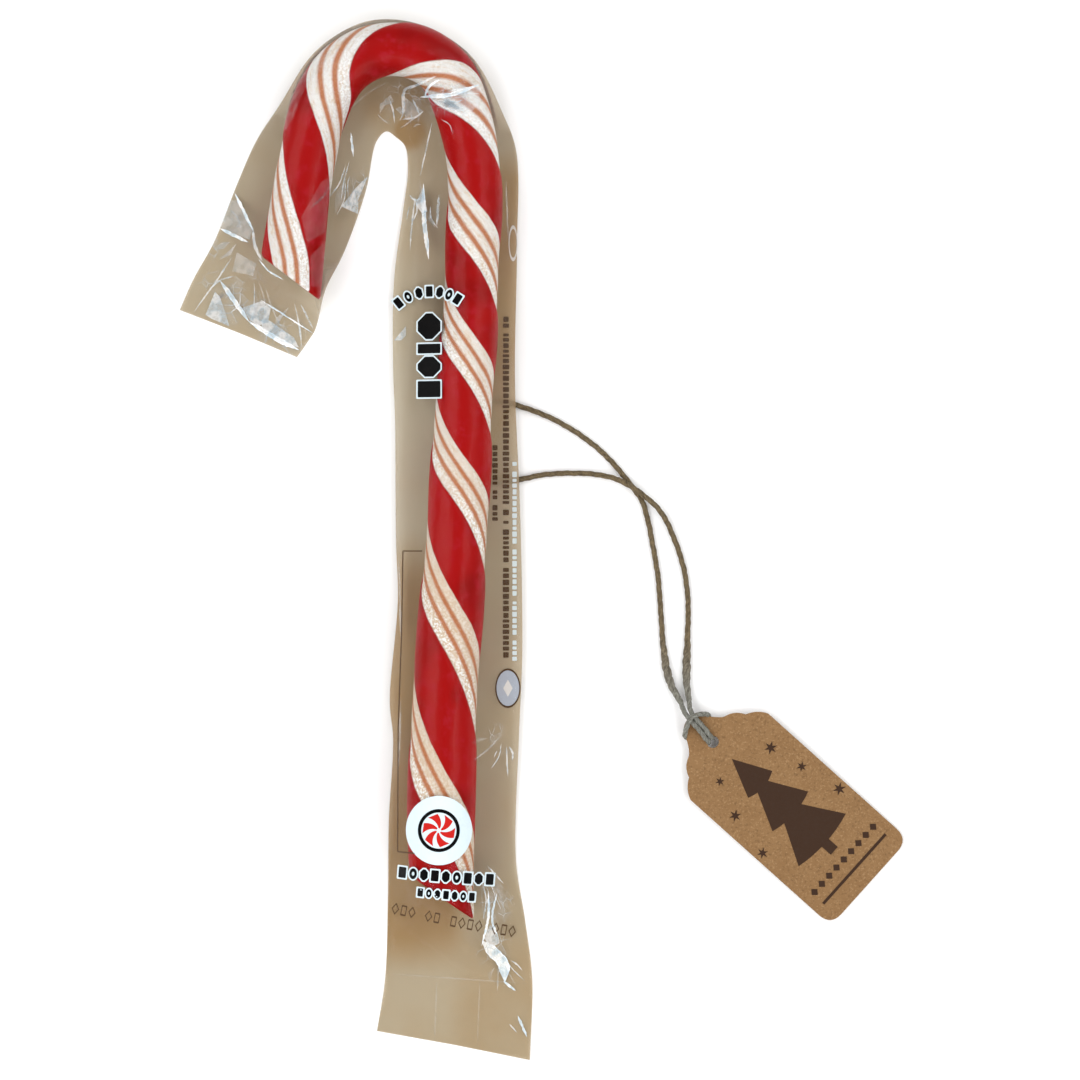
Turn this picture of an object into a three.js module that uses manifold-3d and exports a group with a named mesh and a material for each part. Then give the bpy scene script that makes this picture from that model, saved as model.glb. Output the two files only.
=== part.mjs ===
// A candy cane in its clear film sleeve, with a scalloped paper tag on a loop of twine.
// It lies on its back: +Z is up, +Y points to the crook and +X to the tag. Millimetres.
// The origin is on the surface that it lies on, under the middle of the wrapped cane.

import * as THREE from "three";
import { mergeVertices } from "three/addons/utils/BufferGeometryUtils.js";
import Module from "manifold-3d";

const manifold = await Module();
manifold.setup();

// ---------------------------------------------------------------- driving dimensions

// The cane's centreline in plan: a short leg up from the tip, a round crook, a long leg down.
const CROOK_CENTRE = [7.6, 88.0];
const CROOK_RADIUS = 15.0;
const CROOK_START_DEG = 160;
const CROOK_END_DEG = 10;
const CROOK_STEP_DEG = 30;
const SHORT_LEG = [[-13.6, 54.9], [-12.7, 63.1], [-11.6, 71.5], [-10.1, 79.9]];
const LONG_LEG = [
  [24.4, 81.0], [24.9, 71.5], [24.5, 58.9], [23.9, 46.3], [22.5, 25.3],
  [21.7, 8.5], [20.2, -12.5], [18.7, -33.5], [18.0, -54.5], [18.0, -74.7],
];

// Radius of the candy at distances from the tip: drawn thin over the crook, full at the foot.
const RADIUS_MARKS = [[0, 6.4], [50, 5.8], [110, 5.6], [130, 5.9], [205, 6.9], [250, 7.0]];
const LOBE = 0.3; // how far the red bands stand out of the twisted rope
const END_ROUNDING = 0.9;
const END_SIZE = 0.9; // share of the full radius that is left at the very end
const TIP_SLANT = 0.6; // both ends are cut askew
const FOOT_SLANT = 0.7;
const SLANT_LENGTH = 14;
const BAND_LAG_DEG = 42; // from the edge of a white band round to the middle of the red one

// The twist at distances from the tip: how far apart the white bands follow one another over
// the crest, and the share of that by which a band leans from one side of the cane to the other.
const BAND_PITCH_MARKS = [[0, 110], [6, 50], [12, 42], [22, 36], [30, 33], [80, 32], [125, 25], [160, 28], [210, 39]];
const BAND_LEAN_MARKS = [[0, 1.1], [15, 0.95], [60, 0.6], [90, 0.7], [130, 0.9], [220, 0.95]];
const FIRST_BAND = 0.19; // how much of a pair of bands has passed over the crest at the tip
const PITCH_STEP = 1; // the stretches in which the pitch is added up

// The long leg passes over the twine, so it stands off the surface in a long low hump.
const HUMP_HEIGHT = 1.6;
const HUMP_MIDDLE_Y = 5;
const HUMP_REACH = 81;
const HUMP_FADE_X = [3, 8];

// The sleeve in plan: its outer edge, its middle and its inner edge, from flap to flap.
const SLEEVE_STATIONS = [
  [[-37.0, 48.4], [-24.6, 43.6], [-12.4, 38.5]],
  [[-33.8, 55.3], [-18.9, 49.5], [-7.6, 47.8]],
  [[-29.6, 63.1], [-13.7, 56.8], [-3.1, 59.3]],
  [[-26.0, 71.5], [-11.5, 70.5], [1.1, 69.4]],
  [[-21.4, 83.1], [-9.9, 82.0], [3.8, 78.9]],
  [[-15.3, 92.5], [-6.9, 90.4], [4.0, 82.6]],
  [[-8.0, 103.0], [-1.5, 99.6], [4.6, 84.3]],
  [[6.7, 108.6], [7.6, 102.8], [6.7, 85.4]],
  [[17.8, 105.2], [14.9, 100.9], [9.0, 84.3]],
  [[25.8, 99.4], [19.9, 96.3], [10.5, 82.4]],
  [[30.9, 89.8], [22.9, 88.3], [10.9, 78.6]],
  [[33.8, 78.9], [24.6, 76.8], [10.7, 73.6]],
  [[33.8, 63.1], [24.6, 63.1], [9.0, 63.1]],
  [[33.6, 46.3], [23.9, 46.3], [7.6, 46.3]],
  [[33.4, 29.5], [22.7, 29.5], [8.2, 29.5]],
  [[34.6, 4.3], [21.2, 4.3], [8.4, 4.3]],
  [[34.9, -14.6], [19.9, -14.6], [8.8, -14.0]],
  [[34.6, -31.4], [18.7, -31.4], [7.1, -31.4]],
  [[34.0, -52.4], [18.0, -52.4], [7.6, -52.4]],
  [[34.0, -71.3], [18.1, -71.3], [6.7, -71.3]],
  [[36.8, -87.0], [20.6, -88.1], [6.3, -87.0]],
  [[36.5, -109.1], [20.6, -105.9], [4.4, -103.0]],
];
const SLEEVE_EDGE = 0.6; // both layers of film and the air between them, at the edge
const FILM_UNDER = 0.1; // film between the cane and the surface
const FILM_LEAVES_DEG = 56; // where the film leaves the round of the cane, from its crest
const FILM_SLACK = 0.8;
const FILM_FLARE = 0.7; // how softly the flank runs out into the flat wing
const FILM_SPREAD = 0.8; // how much gentler the film comes down past the cane's ends
const SLOT_GAP = 0.35;

// Facets: how finely each form is cut up.
const CANE_SIDES = 20;
const CANE_RINGS = 92;
const SLOT_SIDES = 16;
const SLOT_RINGS = 56;
const SLEEVE_ACROSS = 8;
const SLEEVE_ALONG = 64;
const TRAIL_POINTS = 240;
const RING_BUNCHING = 0.6; // rings lie closer together near the cane's ends
const TUBE_SIDES = 8;
const TUBE_STEPS = 76;
const TAG_CURVE_STEPS = 8;

const TWINE_RADIUS = 0.6;
const TWINE_LIES_AT = 0.62; // height of its middle where it lies on the surface
// The loop of twine from the hitch, under the long leg and back; it comes down off the tag,
// and its two runs cross once, the first over the second.
const TWINE_ROUTE = [
  [69.9, -33.6, 1.45], [69.4, -29.3, 0.8], [69.6, -20.9], [69.7, -12.5], [68.8, -5.8], [66.6, 0.9, 0.75],
  [64.0, 6.0, 1.2], [60.6, 9.3, 1.95], [57.3, 11.6, 2.15], [54.0, 13.1, 1.5], [49.1, 14.0, 0.8], [40.3, 13.9],
  [34.9, 12.9], [31.5, 12.2], [28.3, 12.0], [24.8, 12.7], [20.8, 14.6], [18.5, 18.0], [18.2, 22.8],
  [19.8, 26.4], [23.1, 28.6], [27.3, 29.4], [31.1, 29.2], [34.4, 28.2], [40.3, 26.0], [46.4, 22.6],
  [51.6, 18.6], [55.2, 14.8], [57.6, 11.8], [60.0, 8.4], [61.3, 4.2], [62.3, -0.9], [63.4, -7.5],
  [64.0, -15.0], [64.6, -22.8], [65.8, -29.3, 0.8], [68.2, -34.1, 1.45],
];

// The tag: u runs from its nose to its far end, v across it.
const TAG_NOSE = [69.6, -37.5];
const TAG_TURN_DEG = -41.9;
const TAG_LENGTH = 51.4;
const TAG_HALF_WIDTH = 12.2;
const TAG_THICKNESS = 0.5;
const TAG_CORNER = 3.4;
const TAG_NOSE_LIFT = 1.75; // the hitch's strands lie under the nose
const TAG_FAR_LIFT = 0.05;
const TAG_HOLE_U = 7.1;
const TAG_HOLE_RADIUS = 1.3;
// The scalloped head, from the nose to the long edge: [control point, end point] of each curve.
const TAG_SCALLOPS = [
  [[0.2, 2.0], [1.6, 2.7]],
  [[4.6, 4.3], [5.4, 5.6]],
  [[6.1, 8.0], [8.4, 8.9]],
  [[9.6, 11.3], [11.8, 12.2]],
];

const HITCH_RADIUS = 0.5;
const HITCH_SPREAD = 0.58; // half the distance between the two strands
const HITCH_SKEW = 0.9; // the knot sits a little to one side of the nose

// ---------------------------------------------------------------- small helpers

const radians = THREE.MathUtils.degToRad;

/** Value at `at` on straight lines through [position, value] marks. */
function alongMarks(marks, at) {
  const after = marks.findIndex(([position]) => position > at);
  const next = after < 0 ? marks.length - 1 : Math.max(after, 1);
  const [[x0, y0], [x1, y1]] = [marks[next - 1], marks[next]];
  return THREE.MathUtils.mapLinear(THREE.MathUtils.clamp(at, x0, x1), x0, x1, y0, y1);
}

/** A smooth curve through points in plan or in space. */
function smoothCurve(points) {
  return new THREE.CatmullRomCurve3(points.map(([x, y, z = 0]) => new THREE.Vector3(x, y, z)));
}

/** A geometry whose shared corners are one vertex each. */
function merged(geometry) {
  geometry.deleteAttribute("normal");
  geometry.deleteAttribute("uv");
  return mergeVertices(geometry);
}

/** Moves each corner of a unit solid to the place that `place` gives for it. */
function reshape(geometry, place) {
  const solid = merged(geometry);
  const corners = solid.getAttribute("position");
  const corner = new THREE.Vector3();
  for (let i = 0; i < corners.count; i += 1) {
    corner.fromBufferAttribute(corners, i);
    corner.copy(place(corner));
    corners.setXYZ(i, corner.x, corner.y, corner.z);
  }
  solid.computeVertexNormals();
  return solid;
}

/** What is left of one closed geometry when another is cut out of it. */
function cutAway(body, tool) {
  const [kept, removed] = [body, tool].map((geometry) => new manifold.Manifold(new manifold.Mesh({
    numProp: 3,
    vertProperties: new Float32Array(geometry.getAttribute("position").array),
    triVerts: new Uint32Array(geometry.getIndex().array),
  })));
  const mesh = kept.subtract(removed).getMesh();
  const result = new THREE.BufferGeometry();
  result.setAttribute("position", new THREE.BufferAttribute(mesh.vertProperties, 3));
  result.setIndex(new THREE.BufferAttribute(mesh.triVerts, 1));
  result.computeVertexNormals();
  return result;
}

/** A round tube along a curve, closed at both ends. */
function tubeAlong(curve, radius) {
  const section = new THREE.Shape();
  section.absarc(0, 0, radius, 0, 2 * Math.PI);
  const cut = { steps: TUBE_STEPS, curveSegments: TUBE_SIDES / 2, extrudePath: curve, bevelEnabled: false };
  return merged(new THREE.ExtrudeGeometry(section, cut));
}

/** A sub-part: its geometry under its own name, in its own colour. */
function named(name, geometry, color, roughness) {
  const mesh = new THREE.Mesh(geometry, new THREE.MeshStandardMaterial({ color, roughness, metalness: 0 }));
  mesh.name = name;
  return mesh;
}

// ---------------------------------------------------------------- the cane's line

function crookPoints() {
  const points = [];
  for (let angle = CROOK_START_DEG; angle >= CROOK_END_DEG; angle -= CROOK_STEP_DEG) {
    const x = CROOK_CENTRE[0] + CROOK_RADIUS * Math.cos(radians(angle));
    const y = CROOK_CENTRE[1] + CROOK_RADIUS * Math.sin(radians(angle));
    points.push([x, y]);
  }
  return points;
}

const caneLine = smoothCurve([...SHORT_LEG, ...crookPoints(), ...LONG_LEG]);
caneLine.arcLengthDivisions = 600;
const caneLength = caneLine.getLength();

/** Height of the hump under the long leg at a place in plan. */
function humpAt(x, y) {
  const reach = Math.min(Math.abs(y - HUMP_MIDDLE_Y) / HUMP_REACH, 1);
  return HUMP_HEIGHT * (1 - reach ** 4) ** 2 * THREE.MathUtils.smoothstep(x, ...HUMP_FADE_X);
}

const coreRadius = (distance) => alongMarks(RADIUS_MARKS, distance);

/** Half turns of the twist at a distance from the tip, on the inner side of the cane. */
function halfTurns(distance) {
  let bands = FIRST_BAND;
  for (let from = 0; from < distance; from += PITCH_STEP) {
    const stretch = Math.min(PITCH_STEP, distance - from);
    bands += stretch / alongMarks(BAND_PITCH_MARKS, from + stretch / 2);
  }
  return bands + alongMarks(BAND_LEAN_MARKS, distance) / 2;
}

/** How much of the full radius is left near the rounded ends. */
function endFactor(distance) {
  const fromEnd = THREE.MathUtils.clamp(Math.min(distance, caneLength - distance) / END_ROUNDING, 0, 1);
  return END_SIZE + (1 - END_SIZE) * Math.sqrt(1 - (1 - fromEnd) ** 2);
}

/** How far along the cane a corner moves for the slanted ends, for one to the outer side. */
function slantAt(distance) {
  const tip = TIP_SLANT * THREE.MathUtils.clamp(1 - distance / SLANT_LENGTH, 0, 1);
  const foot = FOOT_SLANT * THREE.MathUtils.clamp(1 - (caneLength - distance) / SLANT_LENGTH, 0, 1);
  return tip + foot;
}

/**
 * A rod along the cane's line. `grow` is added to its radius, and `lobe` is the height of
 * the two lobes that wind round it with the twist.
 */
function caneRod(sides, rings, grow, lobe) {
  const unit = new THREE.CylinderGeometry(1, 1, 1, sides, rings);
  return reshape(unit, (corner) => {
    const even = 0.5 - corner.y;
    const share = even - RING_BUNCHING * Math.sin(2 * Math.PI * even) / (2 * Math.PI);
    const distance = share * caneLength;
    const point = caneLine.getPointAt(share);
    const tangent = caneLine.getTangentAt(share);
    const outward = new THREE.Vector3(-tangent.y, tangent.x, 0);
    const round = Math.atan2(corner.z, corner.x);
    const bandEdge = Math.PI * (1 - halfTurns(distance));
    const twisted = round - bandEdge + radians(BAND_LAG_DEG);
    const core = coreRadius(distance);
    const radius = (core + lobe * Math.cos(2 * twisted)) * endFactor(distance) + grow;
    const across = radius * corner.x;
    const middle = humpAt(point.x, point.y) + FILM_UNDER + core + LOBE;
    const growAlong = grow * Math.sign(even - 0.5);
    return point
      .addScaledVector(outward, across)
      .addScaledVector(tangent, slantAt(distance) * across + growAlong)
      .setZ(middle + radius * corner.z);
  });
}

// ---------------------------------------------------------------- the film sleeve

const caneTrail = caneLine.getSpacedPoints(TRAIL_POINTS);

/** The nearest place on the cane's line: how far off it is, and how far from the tip. */
function nearestOnCane(x, y) {
  let best = { off: Infinity, distance: 0 };
  caneTrail.forEach((point, i) => {
    const off = Math.hypot(point.x - x, point.y - y);
    if (off < best.off) best = { off, distance: caneLength * i / TRAIL_POINTS };
  });
  const pastEnd = best.distance === 0 || best.distance === caneLength;
  return { off: best.off * (pastEnd ? FILM_SPREAD : 1), distance: best.distance };
}

/** Height of the film's upper side above its underside: round the cane, down a flank, flat. */
function filmHeight(x, y) {
  const { off, distance } = nearestOnCane(x, y);
  const radius = coreRadius(distance) + LOBE;
  const leave = radians(FILM_LEAVES_DEG);
  const leavesAt = radius * Math.sin(leave);
  if (off < leavesAt) return radius + Math.sqrt(radius ** 2 - off ** 2) - FILM_SLACK;
  const flank = radius * (1 + Math.cos(leave)) - (off - leavesAt) * Math.tan(leave) - FILM_SLACK;
  return SLEEVE_EDGE + FILM_FLARE * Math.log1p(Math.exp((flank - SLEEVE_EDGE) / FILM_FLARE));
}

/** The sleeve's whole form, drawn over the cane and flattened at both flaps. */
function sleeveForm() {
  const stationLine = (column) => smoothCurve(SLEEVE_STATIONS.map((station) => station[column]));
  const [outer, middle, inner] = [0, 1, 2].map(stationLine);
  const unit = new THREE.BoxGeometry(1, 1, 1, SLEEVE_ACROSS, SLEEVE_ALONG, 1);
  return reshape(unit, (corner) => {
    const share = 0.5 - corner.y;
    const edge = corner.x >= 0 ? outer.getPoint(share) : inner.getPoint(share);
    const place = middle.getPoint(share).lerp(edge, 2 * Math.abs(corner.x));
    const atEdge = Math.abs(corner.x) === 0.5;
    const height = atEdge ? SLEEVE_EDGE : filmHeight(place.x, place.y);
    return place.setZ(humpAt(place.x, place.y) + (corner.z > 0 ? height : 0));
  });
}

function filmSleeve() {
  const slot = caneRod(SLOT_SIDES, SLOT_RINGS, LOBE + SLOT_GAP, 0);
  return named("film_sleeve", cutAway(sleeveForm(), slot), 0xb9a184, 0.25);
}

// ---------------------------------------------------------------- the tag and its twine

/** Outline of the tag: a square far end with round corners, and a scalloped head. */
function tagOutline() {
  const shape = new THREE.Shape();
  shape.moveTo(0, 0);
  for (const [[cu, cv], [u, v]] of TAG_SCALLOPS) shape.quadraticCurveTo(cu, cv, u, v);
  shape.lineTo(TAG_LENGTH - TAG_CORNER, TAG_HALF_WIDTH);
  shape.quadraticCurveTo(TAG_LENGTH, TAG_HALF_WIDTH, TAG_LENGTH, TAG_HALF_WIDTH - TAG_CORNER);
  shape.lineTo(TAG_LENGTH, TAG_CORNER - TAG_HALF_WIDTH);
  shape.quadraticCurveTo(TAG_LENGTH, -TAG_HALF_WIDTH, TAG_LENGTH - TAG_CORNER, -TAG_HALF_WIDTH);
  const mirrored = [...TAG_SCALLOPS].reverse();
  shape.lineTo(mirrored[0][1][0], -mirrored[0][1][1]);
  mirrored.forEach(([[cu, cv]], i) => {
    const [u, v] = i + 1 < mirrored.length ? mirrored[i + 1][1] : [0, 0];
    shape.quadraticCurveTo(cu, -cv, u, -v);
  });
  return shape;
}

function paperTag() {
  const shape = tagOutline();
  const hole = new THREE.Path();
  hole.absarc(TAG_HOLE_U, 0, TAG_HOLE_RADIUS, 0, 2 * Math.PI);
  shape.holes.push(hole);
  const cut = { depth: TAG_THICKNESS, curveSegments: TAG_CURVE_STEPS, bevelEnabled: false };
  const card = new THREE.ExtrudeGeometry(shape, cut);
  const tag = named("paper_tag", merged(card), 0xa5825a, 0.9);
  tag.position.z = TAG_NOSE_LIFT;
  tag.rotation.y = Math.asin((TAG_NOSE_LIFT - TAG_FAR_LIFT) / TAG_LENGTH);
  return tag;
}

/**
 * One half of the hitch, from its loose end to the middle of the bight: over the card to the
 * hole, down through it, back beneath the card, round the edge and up over the strands.
 */
function hitchHalf(side, looseEnd) {
  const strand = side * HITCH_SPREAD;
  return [
    looseEnd,
    [0, HITCH_SKEW + strand, 2.95],
    [TAG_HOLE_U - 2.8, 0.4 * HITCH_SKEW + strand, 3.0],
    [TAG_HOLE_U - 0.8, strand, 2.75],
    [TAG_HOLE_U - 0.1, strand, 1.75],
    [TAG_HOLE_U - 0.8, side * 0.9, 0.75],
    [TAG_HOLE_U - 2.6, side * 2.3, 0.62],
    [2.9, side * 3.9, 0.8],
    [2.1, side * 3.8, 2.1],
    [1.1, HITCH_SKEW + side * 1.9, 3.35],
  ];
}

/** The lark's head that ties the loop of twine to the tag, as one strand. */
function twineHitch() {
  const upper = hitchHalf(1, [-2.0, 2.8, 1.9]);
  const lower = hitchHalf(-1, [-2.6, 1.3, 1.8]);
  const bight = [0.4, HITCH_SKEW, 4.15];
  const curve = smoothCurve([...upper, bight, ...lower.reverse()]);
  return named("twine_hitch", tubeAlong(curve, HITCH_RADIUS), 0x84796a, 0.9);
}

function twineLoop() {
  const curve = smoothCurve(TWINE_ROUTE.map(([x, y, z = TWINE_LIES_AT]) => [x, y, z]));
  return named("twine", tubeAlong(curve, TWINE_RADIUS), 0x6b5c46, 0.9);
}

/** The tag and its hitch, turned to the way the tag lies. */
function tagOnHitch() {
  const group = new THREE.Group();
  group.position.set(...TAG_NOSE, 0);
  group.rotation.z = radians(TAG_TURN_DEG);
  group.add(paperTag(), twineHitch());
  return group;
}

// ---------------------------------------------------------------- the whole object

const wrappedCane = new THREE.Group();
wrappedCane.add(named("candy_cane", caneRod(CANE_SIDES, CANE_RINGS, 0, LOBE), 0xb01c18, 0.35));
wrappedCane.add(filmSleeve());

const candyCane = new THREE.Group();
candyCane.add(wrappedCane, twineLoop(), tagOnHitch());

export default candyCane;
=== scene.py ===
"""A candy cane sealed in a clear film sleeve, with a scalloped kraft tag on a loop of twine.

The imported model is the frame, and the classes below dress it: the sweet itself, the two layers
of film, the print on them, the twine with its hitch, the tag, and the table and lights round
them. Sizes are in millimetres, and they become metres where a mesh is made.
"""

import logging
import math
from dataclasses import dataclass, field
from enum import Enum
from typing import Callable, Sequence

import bpy
import numpy as np
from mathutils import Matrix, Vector
from mathutils.bvhtree import BVHTree


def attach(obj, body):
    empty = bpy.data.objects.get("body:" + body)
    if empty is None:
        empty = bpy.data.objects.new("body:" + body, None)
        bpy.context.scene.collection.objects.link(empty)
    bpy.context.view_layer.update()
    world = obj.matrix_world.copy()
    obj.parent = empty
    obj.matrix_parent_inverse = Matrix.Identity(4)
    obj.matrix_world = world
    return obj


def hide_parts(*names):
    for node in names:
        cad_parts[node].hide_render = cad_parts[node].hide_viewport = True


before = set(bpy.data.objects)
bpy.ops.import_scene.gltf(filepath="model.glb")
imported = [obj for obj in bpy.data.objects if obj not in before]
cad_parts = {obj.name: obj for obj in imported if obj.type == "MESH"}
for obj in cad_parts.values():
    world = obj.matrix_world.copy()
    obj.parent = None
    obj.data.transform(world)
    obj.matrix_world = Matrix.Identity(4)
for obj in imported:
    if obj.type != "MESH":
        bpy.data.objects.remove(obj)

LOG = logging.getLogger("candy_cane")
MM = 0.001
# A height over everything, in metres, from which rays are cast down.
RAYS_FROM = 0.05
Array = np.ndarray
Colour = tuple[float, float, float]
Marks = tuple[tuple[float, float], ...]
Material = bpy.types.Material
Piece = bpy.types.Object
Pair = tuple[float, float]
Places = tuple[Pair, ...]
Spots = tuple[tuple[float, float, float], ...]
Socket = bpy.types.NodeSocket


# ------ small helpers


def smoothstep(low: float, high: float, at: Array) -> Array:
    """Rises from 0 at low to 1 at high with a smooth start and end."""
    share = np.clip((at - low) / (high - low), 0.0, 1.0)
    return share * share * (3.0 - 2.0 * share)


def softplus(at: Array) -> Array:
    """Nearly 0 below 0 and nearly `at` above it, with a soft bend between."""
    return np.log1p(np.exp(np.clip(at, -40.0, 40.0)))


class SmoothLine:
    """A smooth curve through points, the same one that the solids follow."""

    def __init__(self, points: Sequence[Sequence[float]], per_span: int = 48) -> None:
        """Samples the curve closely.

        Args:
            points: the points it passes through, in two or three dimensions.
            per_span: how many samples lie between two of them.
        """
        given = np.array(points, float)
        ends = 2 * given[0] - given[1], 2 * given[-1] - given[-2]
        held = np.vstack([ends[0], given, ends[1]])
        share = np.arange(per_span)[:, None] / per_span
        samples = []
        for p0, p1, p2, p3 in zip(held, held[1:], held[2:], held[3:]):
            d0, d1, d2 = (math.sqrt(np.linalg.norm(b - a)) for a, b in ((p0, p1), (p1, p2), (p2, p3)))
            start = ((p1 - p0) / d0 - (p2 - p0) / (d0 + d1) + (p2 - p1) / d1) * d1
            end = ((p2 - p1) / d1 - (p3 - p1) / (d1 + d2) + (p3 - p2) / d2) * d1
            samples.append(
                (2 * share**3 - 3 * share**2 + 1) * p1
                + (share**3 - 2 * share**2 + share) * start
                + (3 * share**2 - 2 * share**3) * p2
                + (share**3 - share**2) * end
            )
        self.samples = np.vstack([*samples, given[-1:]])
        steps = np.linalg.norm(np.diff(self.samples, axis=0), axis=1)
        self.reached = np.concatenate([[0.0], np.cumsum(steps)])
        self.knots = self.reached[::per_span]
        self.length = float(self.reached[-1])

    def at(self, distance: Array) -> Array:
        """Points at distances along the curve."""
        columns = [np.interp(distance, self.reached, column) for column in self.samples.T]
        return np.stack(columns, axis=-1)

    def heading(self, distance: Array) -> Array:
        """Which way the curve runs.

        Args:
            distance: distances along it.

        Returns:
            A unit direction of travel for each distance.
        """
        reach = 0.4
        low = np.clip(np.asarray(distance) - reach, 0.0, self.length - reach)
        ahead = self.at(low + reach) - self.at(low)
        return ahead / np.linalg.norm(ahead, axis=-1, keepdims=True)

    def knot_shares(self, shares: Array) -> Array:
        """Distances for shares of the way counted in points passed, as the solids count them."""
        return np.interp(shares * (len(self.knots) - 1), np.arange(len(self.knots)), self.knots)


def nearest_on(line: Array, points: Array) -> tuple[Array, Array]:
    """The nearest of a line's samples to each point.

    Args:
        line: the samples, one a row.
        points: the points, one a row.

    Returns:
        How far off each point is, and the number of the nearest sample.
    """
    batch = 4096
    off, which = np.empty(len(points)), np.empty(len(points), int)
    for first in range(0, len(points), batch):
        part = slice(first, first + batch)
        gaps = ((points[part, None, :] - line[None, :, :]) ** 2).sum(-1)
        which[part] = gaps.argmin(1)
        off[part] = np.sqrt(gaps.min(1))
    return off, which


def off_polyline(corners: Sequence[Sequence[float]], points: Array) -> tuple[Array, Array]:
    """Distance of points from a line of straight stretches.

    Args:
        corners: where the line bends.
        points: the points in plan, one a row.

    Returns:
        How far off each point is, and its share of the way along.
    """
    path = np.array(corners, float)
    lengths = np.linalg.norm(np.diff(path, axis=0), axis=1)
    before = np.concatenate([[0.0], np.cumsum(lengths)])
    best, along = np.full(len(points), np.inf), np.zeros(len(points))
    for a, b, length, reached in zip(path, path[1:], lengths, before):
        share = np.clip(((points - a) @ (b - a)) / max(length, 1e-9) ** 2, 0.0, 1.0)
        off = np.linalg.norm(points - a - share[:, None] * (b - a), axis=1)
        nearer = off < best
        best[nearer], along[nearer] = off[nearer], (reached + share * length)[nearer] / before[-1]
    return best, along


def ripple(points: Array, wavelength: float, seed: int, waves: int = 6) -> Array:
    """Soft random waves in plan.

    Args:
        points: the points, one a row.
        wavelength: about how long the waves are.
        seed: what their random directions come from.
        waves: how many are added up.

    Returns:
        A number from about -1 to 1 for each point.
    """
    random = np.random.default_rng(seed)
    total = np.zeros(len(points))
    for _ in range(waves):
        turn, start = random.uniform(0, 2 * math.pi, 2)
        pace = 2 * math.pi / (wavelength * random.uniform(0.7, 1.5))
        total += np.sin(pace * (points[:, 0] * math.cos(turn) + points[:, 1] * math.sin(turn)) + start)
    return 2 * total / waves


def cast_down(tree: BVHTree, x: float, y: float) -> Vector | None:
    """Where a ray straight down at a place in millimetres first meets a tree, in metres."""
    return tree.ray_cast(Vector((x * MM, y * MM, RAYS_FROM)), Vector((0, 0, -1)))[0]


def make_piece(
    name: str,
    corners: Array,
    faces: Sequence[Sequence[int]],
    material: Material,
    uvs: Array | None = None,
    marks: dict[str, Array] | None = None,
    smooth: bool = True,
    rim: Array | None = None,
) -> Piece:
    """A mesh object in the row frame.

    Args:
        name: the piece's name.
        corners: vertices in millimetres, one a row.
        faces: vertex numbers of each face.
        material: its finish.
        uvs: one pair for each face corner, in the faces' order.
        marks: named numbers, one for each vertex, that the finish reads.
        smooth: whether it is shaded smooth.
        rim: numbers of the vertices along a sharp rim.

    Returns:
        The object, which rides on the only body.
    """
    mesh = bpy.data.meshes.new(name)
    mesh.from_pydata((np.asarray(corners) * MM).tolist(), [], [list(map(int, face)) for face in faces])
    mesh.materials.append(material)
    if uvs is not None:
        mesh.uv_layers.new(name="Strands").data.foreach_set("uv", np.asarray(uvs, np.float32).ravel())
    for mark, values in (marks or {}).items():
        made = mesh.attributes.new(mark, "FLOAT", "POINT")
        made.data.foreach_set("value", np.asarray(values, np.float32))
    if smooth:
        mesh.polygons.foreach_set("use_smooth", [True] * len(mesh.polygons))
    mesh.update()
    if rim is not None:
        ends = np.empty(2 * len(mesh.edges), np.int64)
        mesh.edges.foreach_get("vertices", ends)
        sharp = np.isin(ends.reshape(-1, 2), rim).all(axis=1)
        mesh.attributes.new("sharp_edge", "BOOLEAN", "EDGE").data.foreach_set("value", sharp)
    piece = bpy.data.objects.new(name, mesh)
    bpy.context.scene.collection.objects.link(piece)
    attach(piece, "root")
    return piece


def grid_faces(rows: int, columns: int, closed: bool = False, first: int = 0) -> list[tuple[int, ...]]:
    """Quads between rows of vertices, `columns` in each row.

    Args:
        rows: how many rows there are.
        columns: how many vertices a row has.
        closed: whether each row's last vertex meets its first.
        first: the number of the first vertex.

    Returns:
        The faces, wound the same way all over.
    """
    faces = []
    for row in range(rows - 1):
        base = first + row * columns
        for column in range(columns if closed else columns - 1):
            right = (column + 1) % columns
            faces.append((base + column, base + right, base + columns + right, base + columns + column))
    return faces


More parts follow.
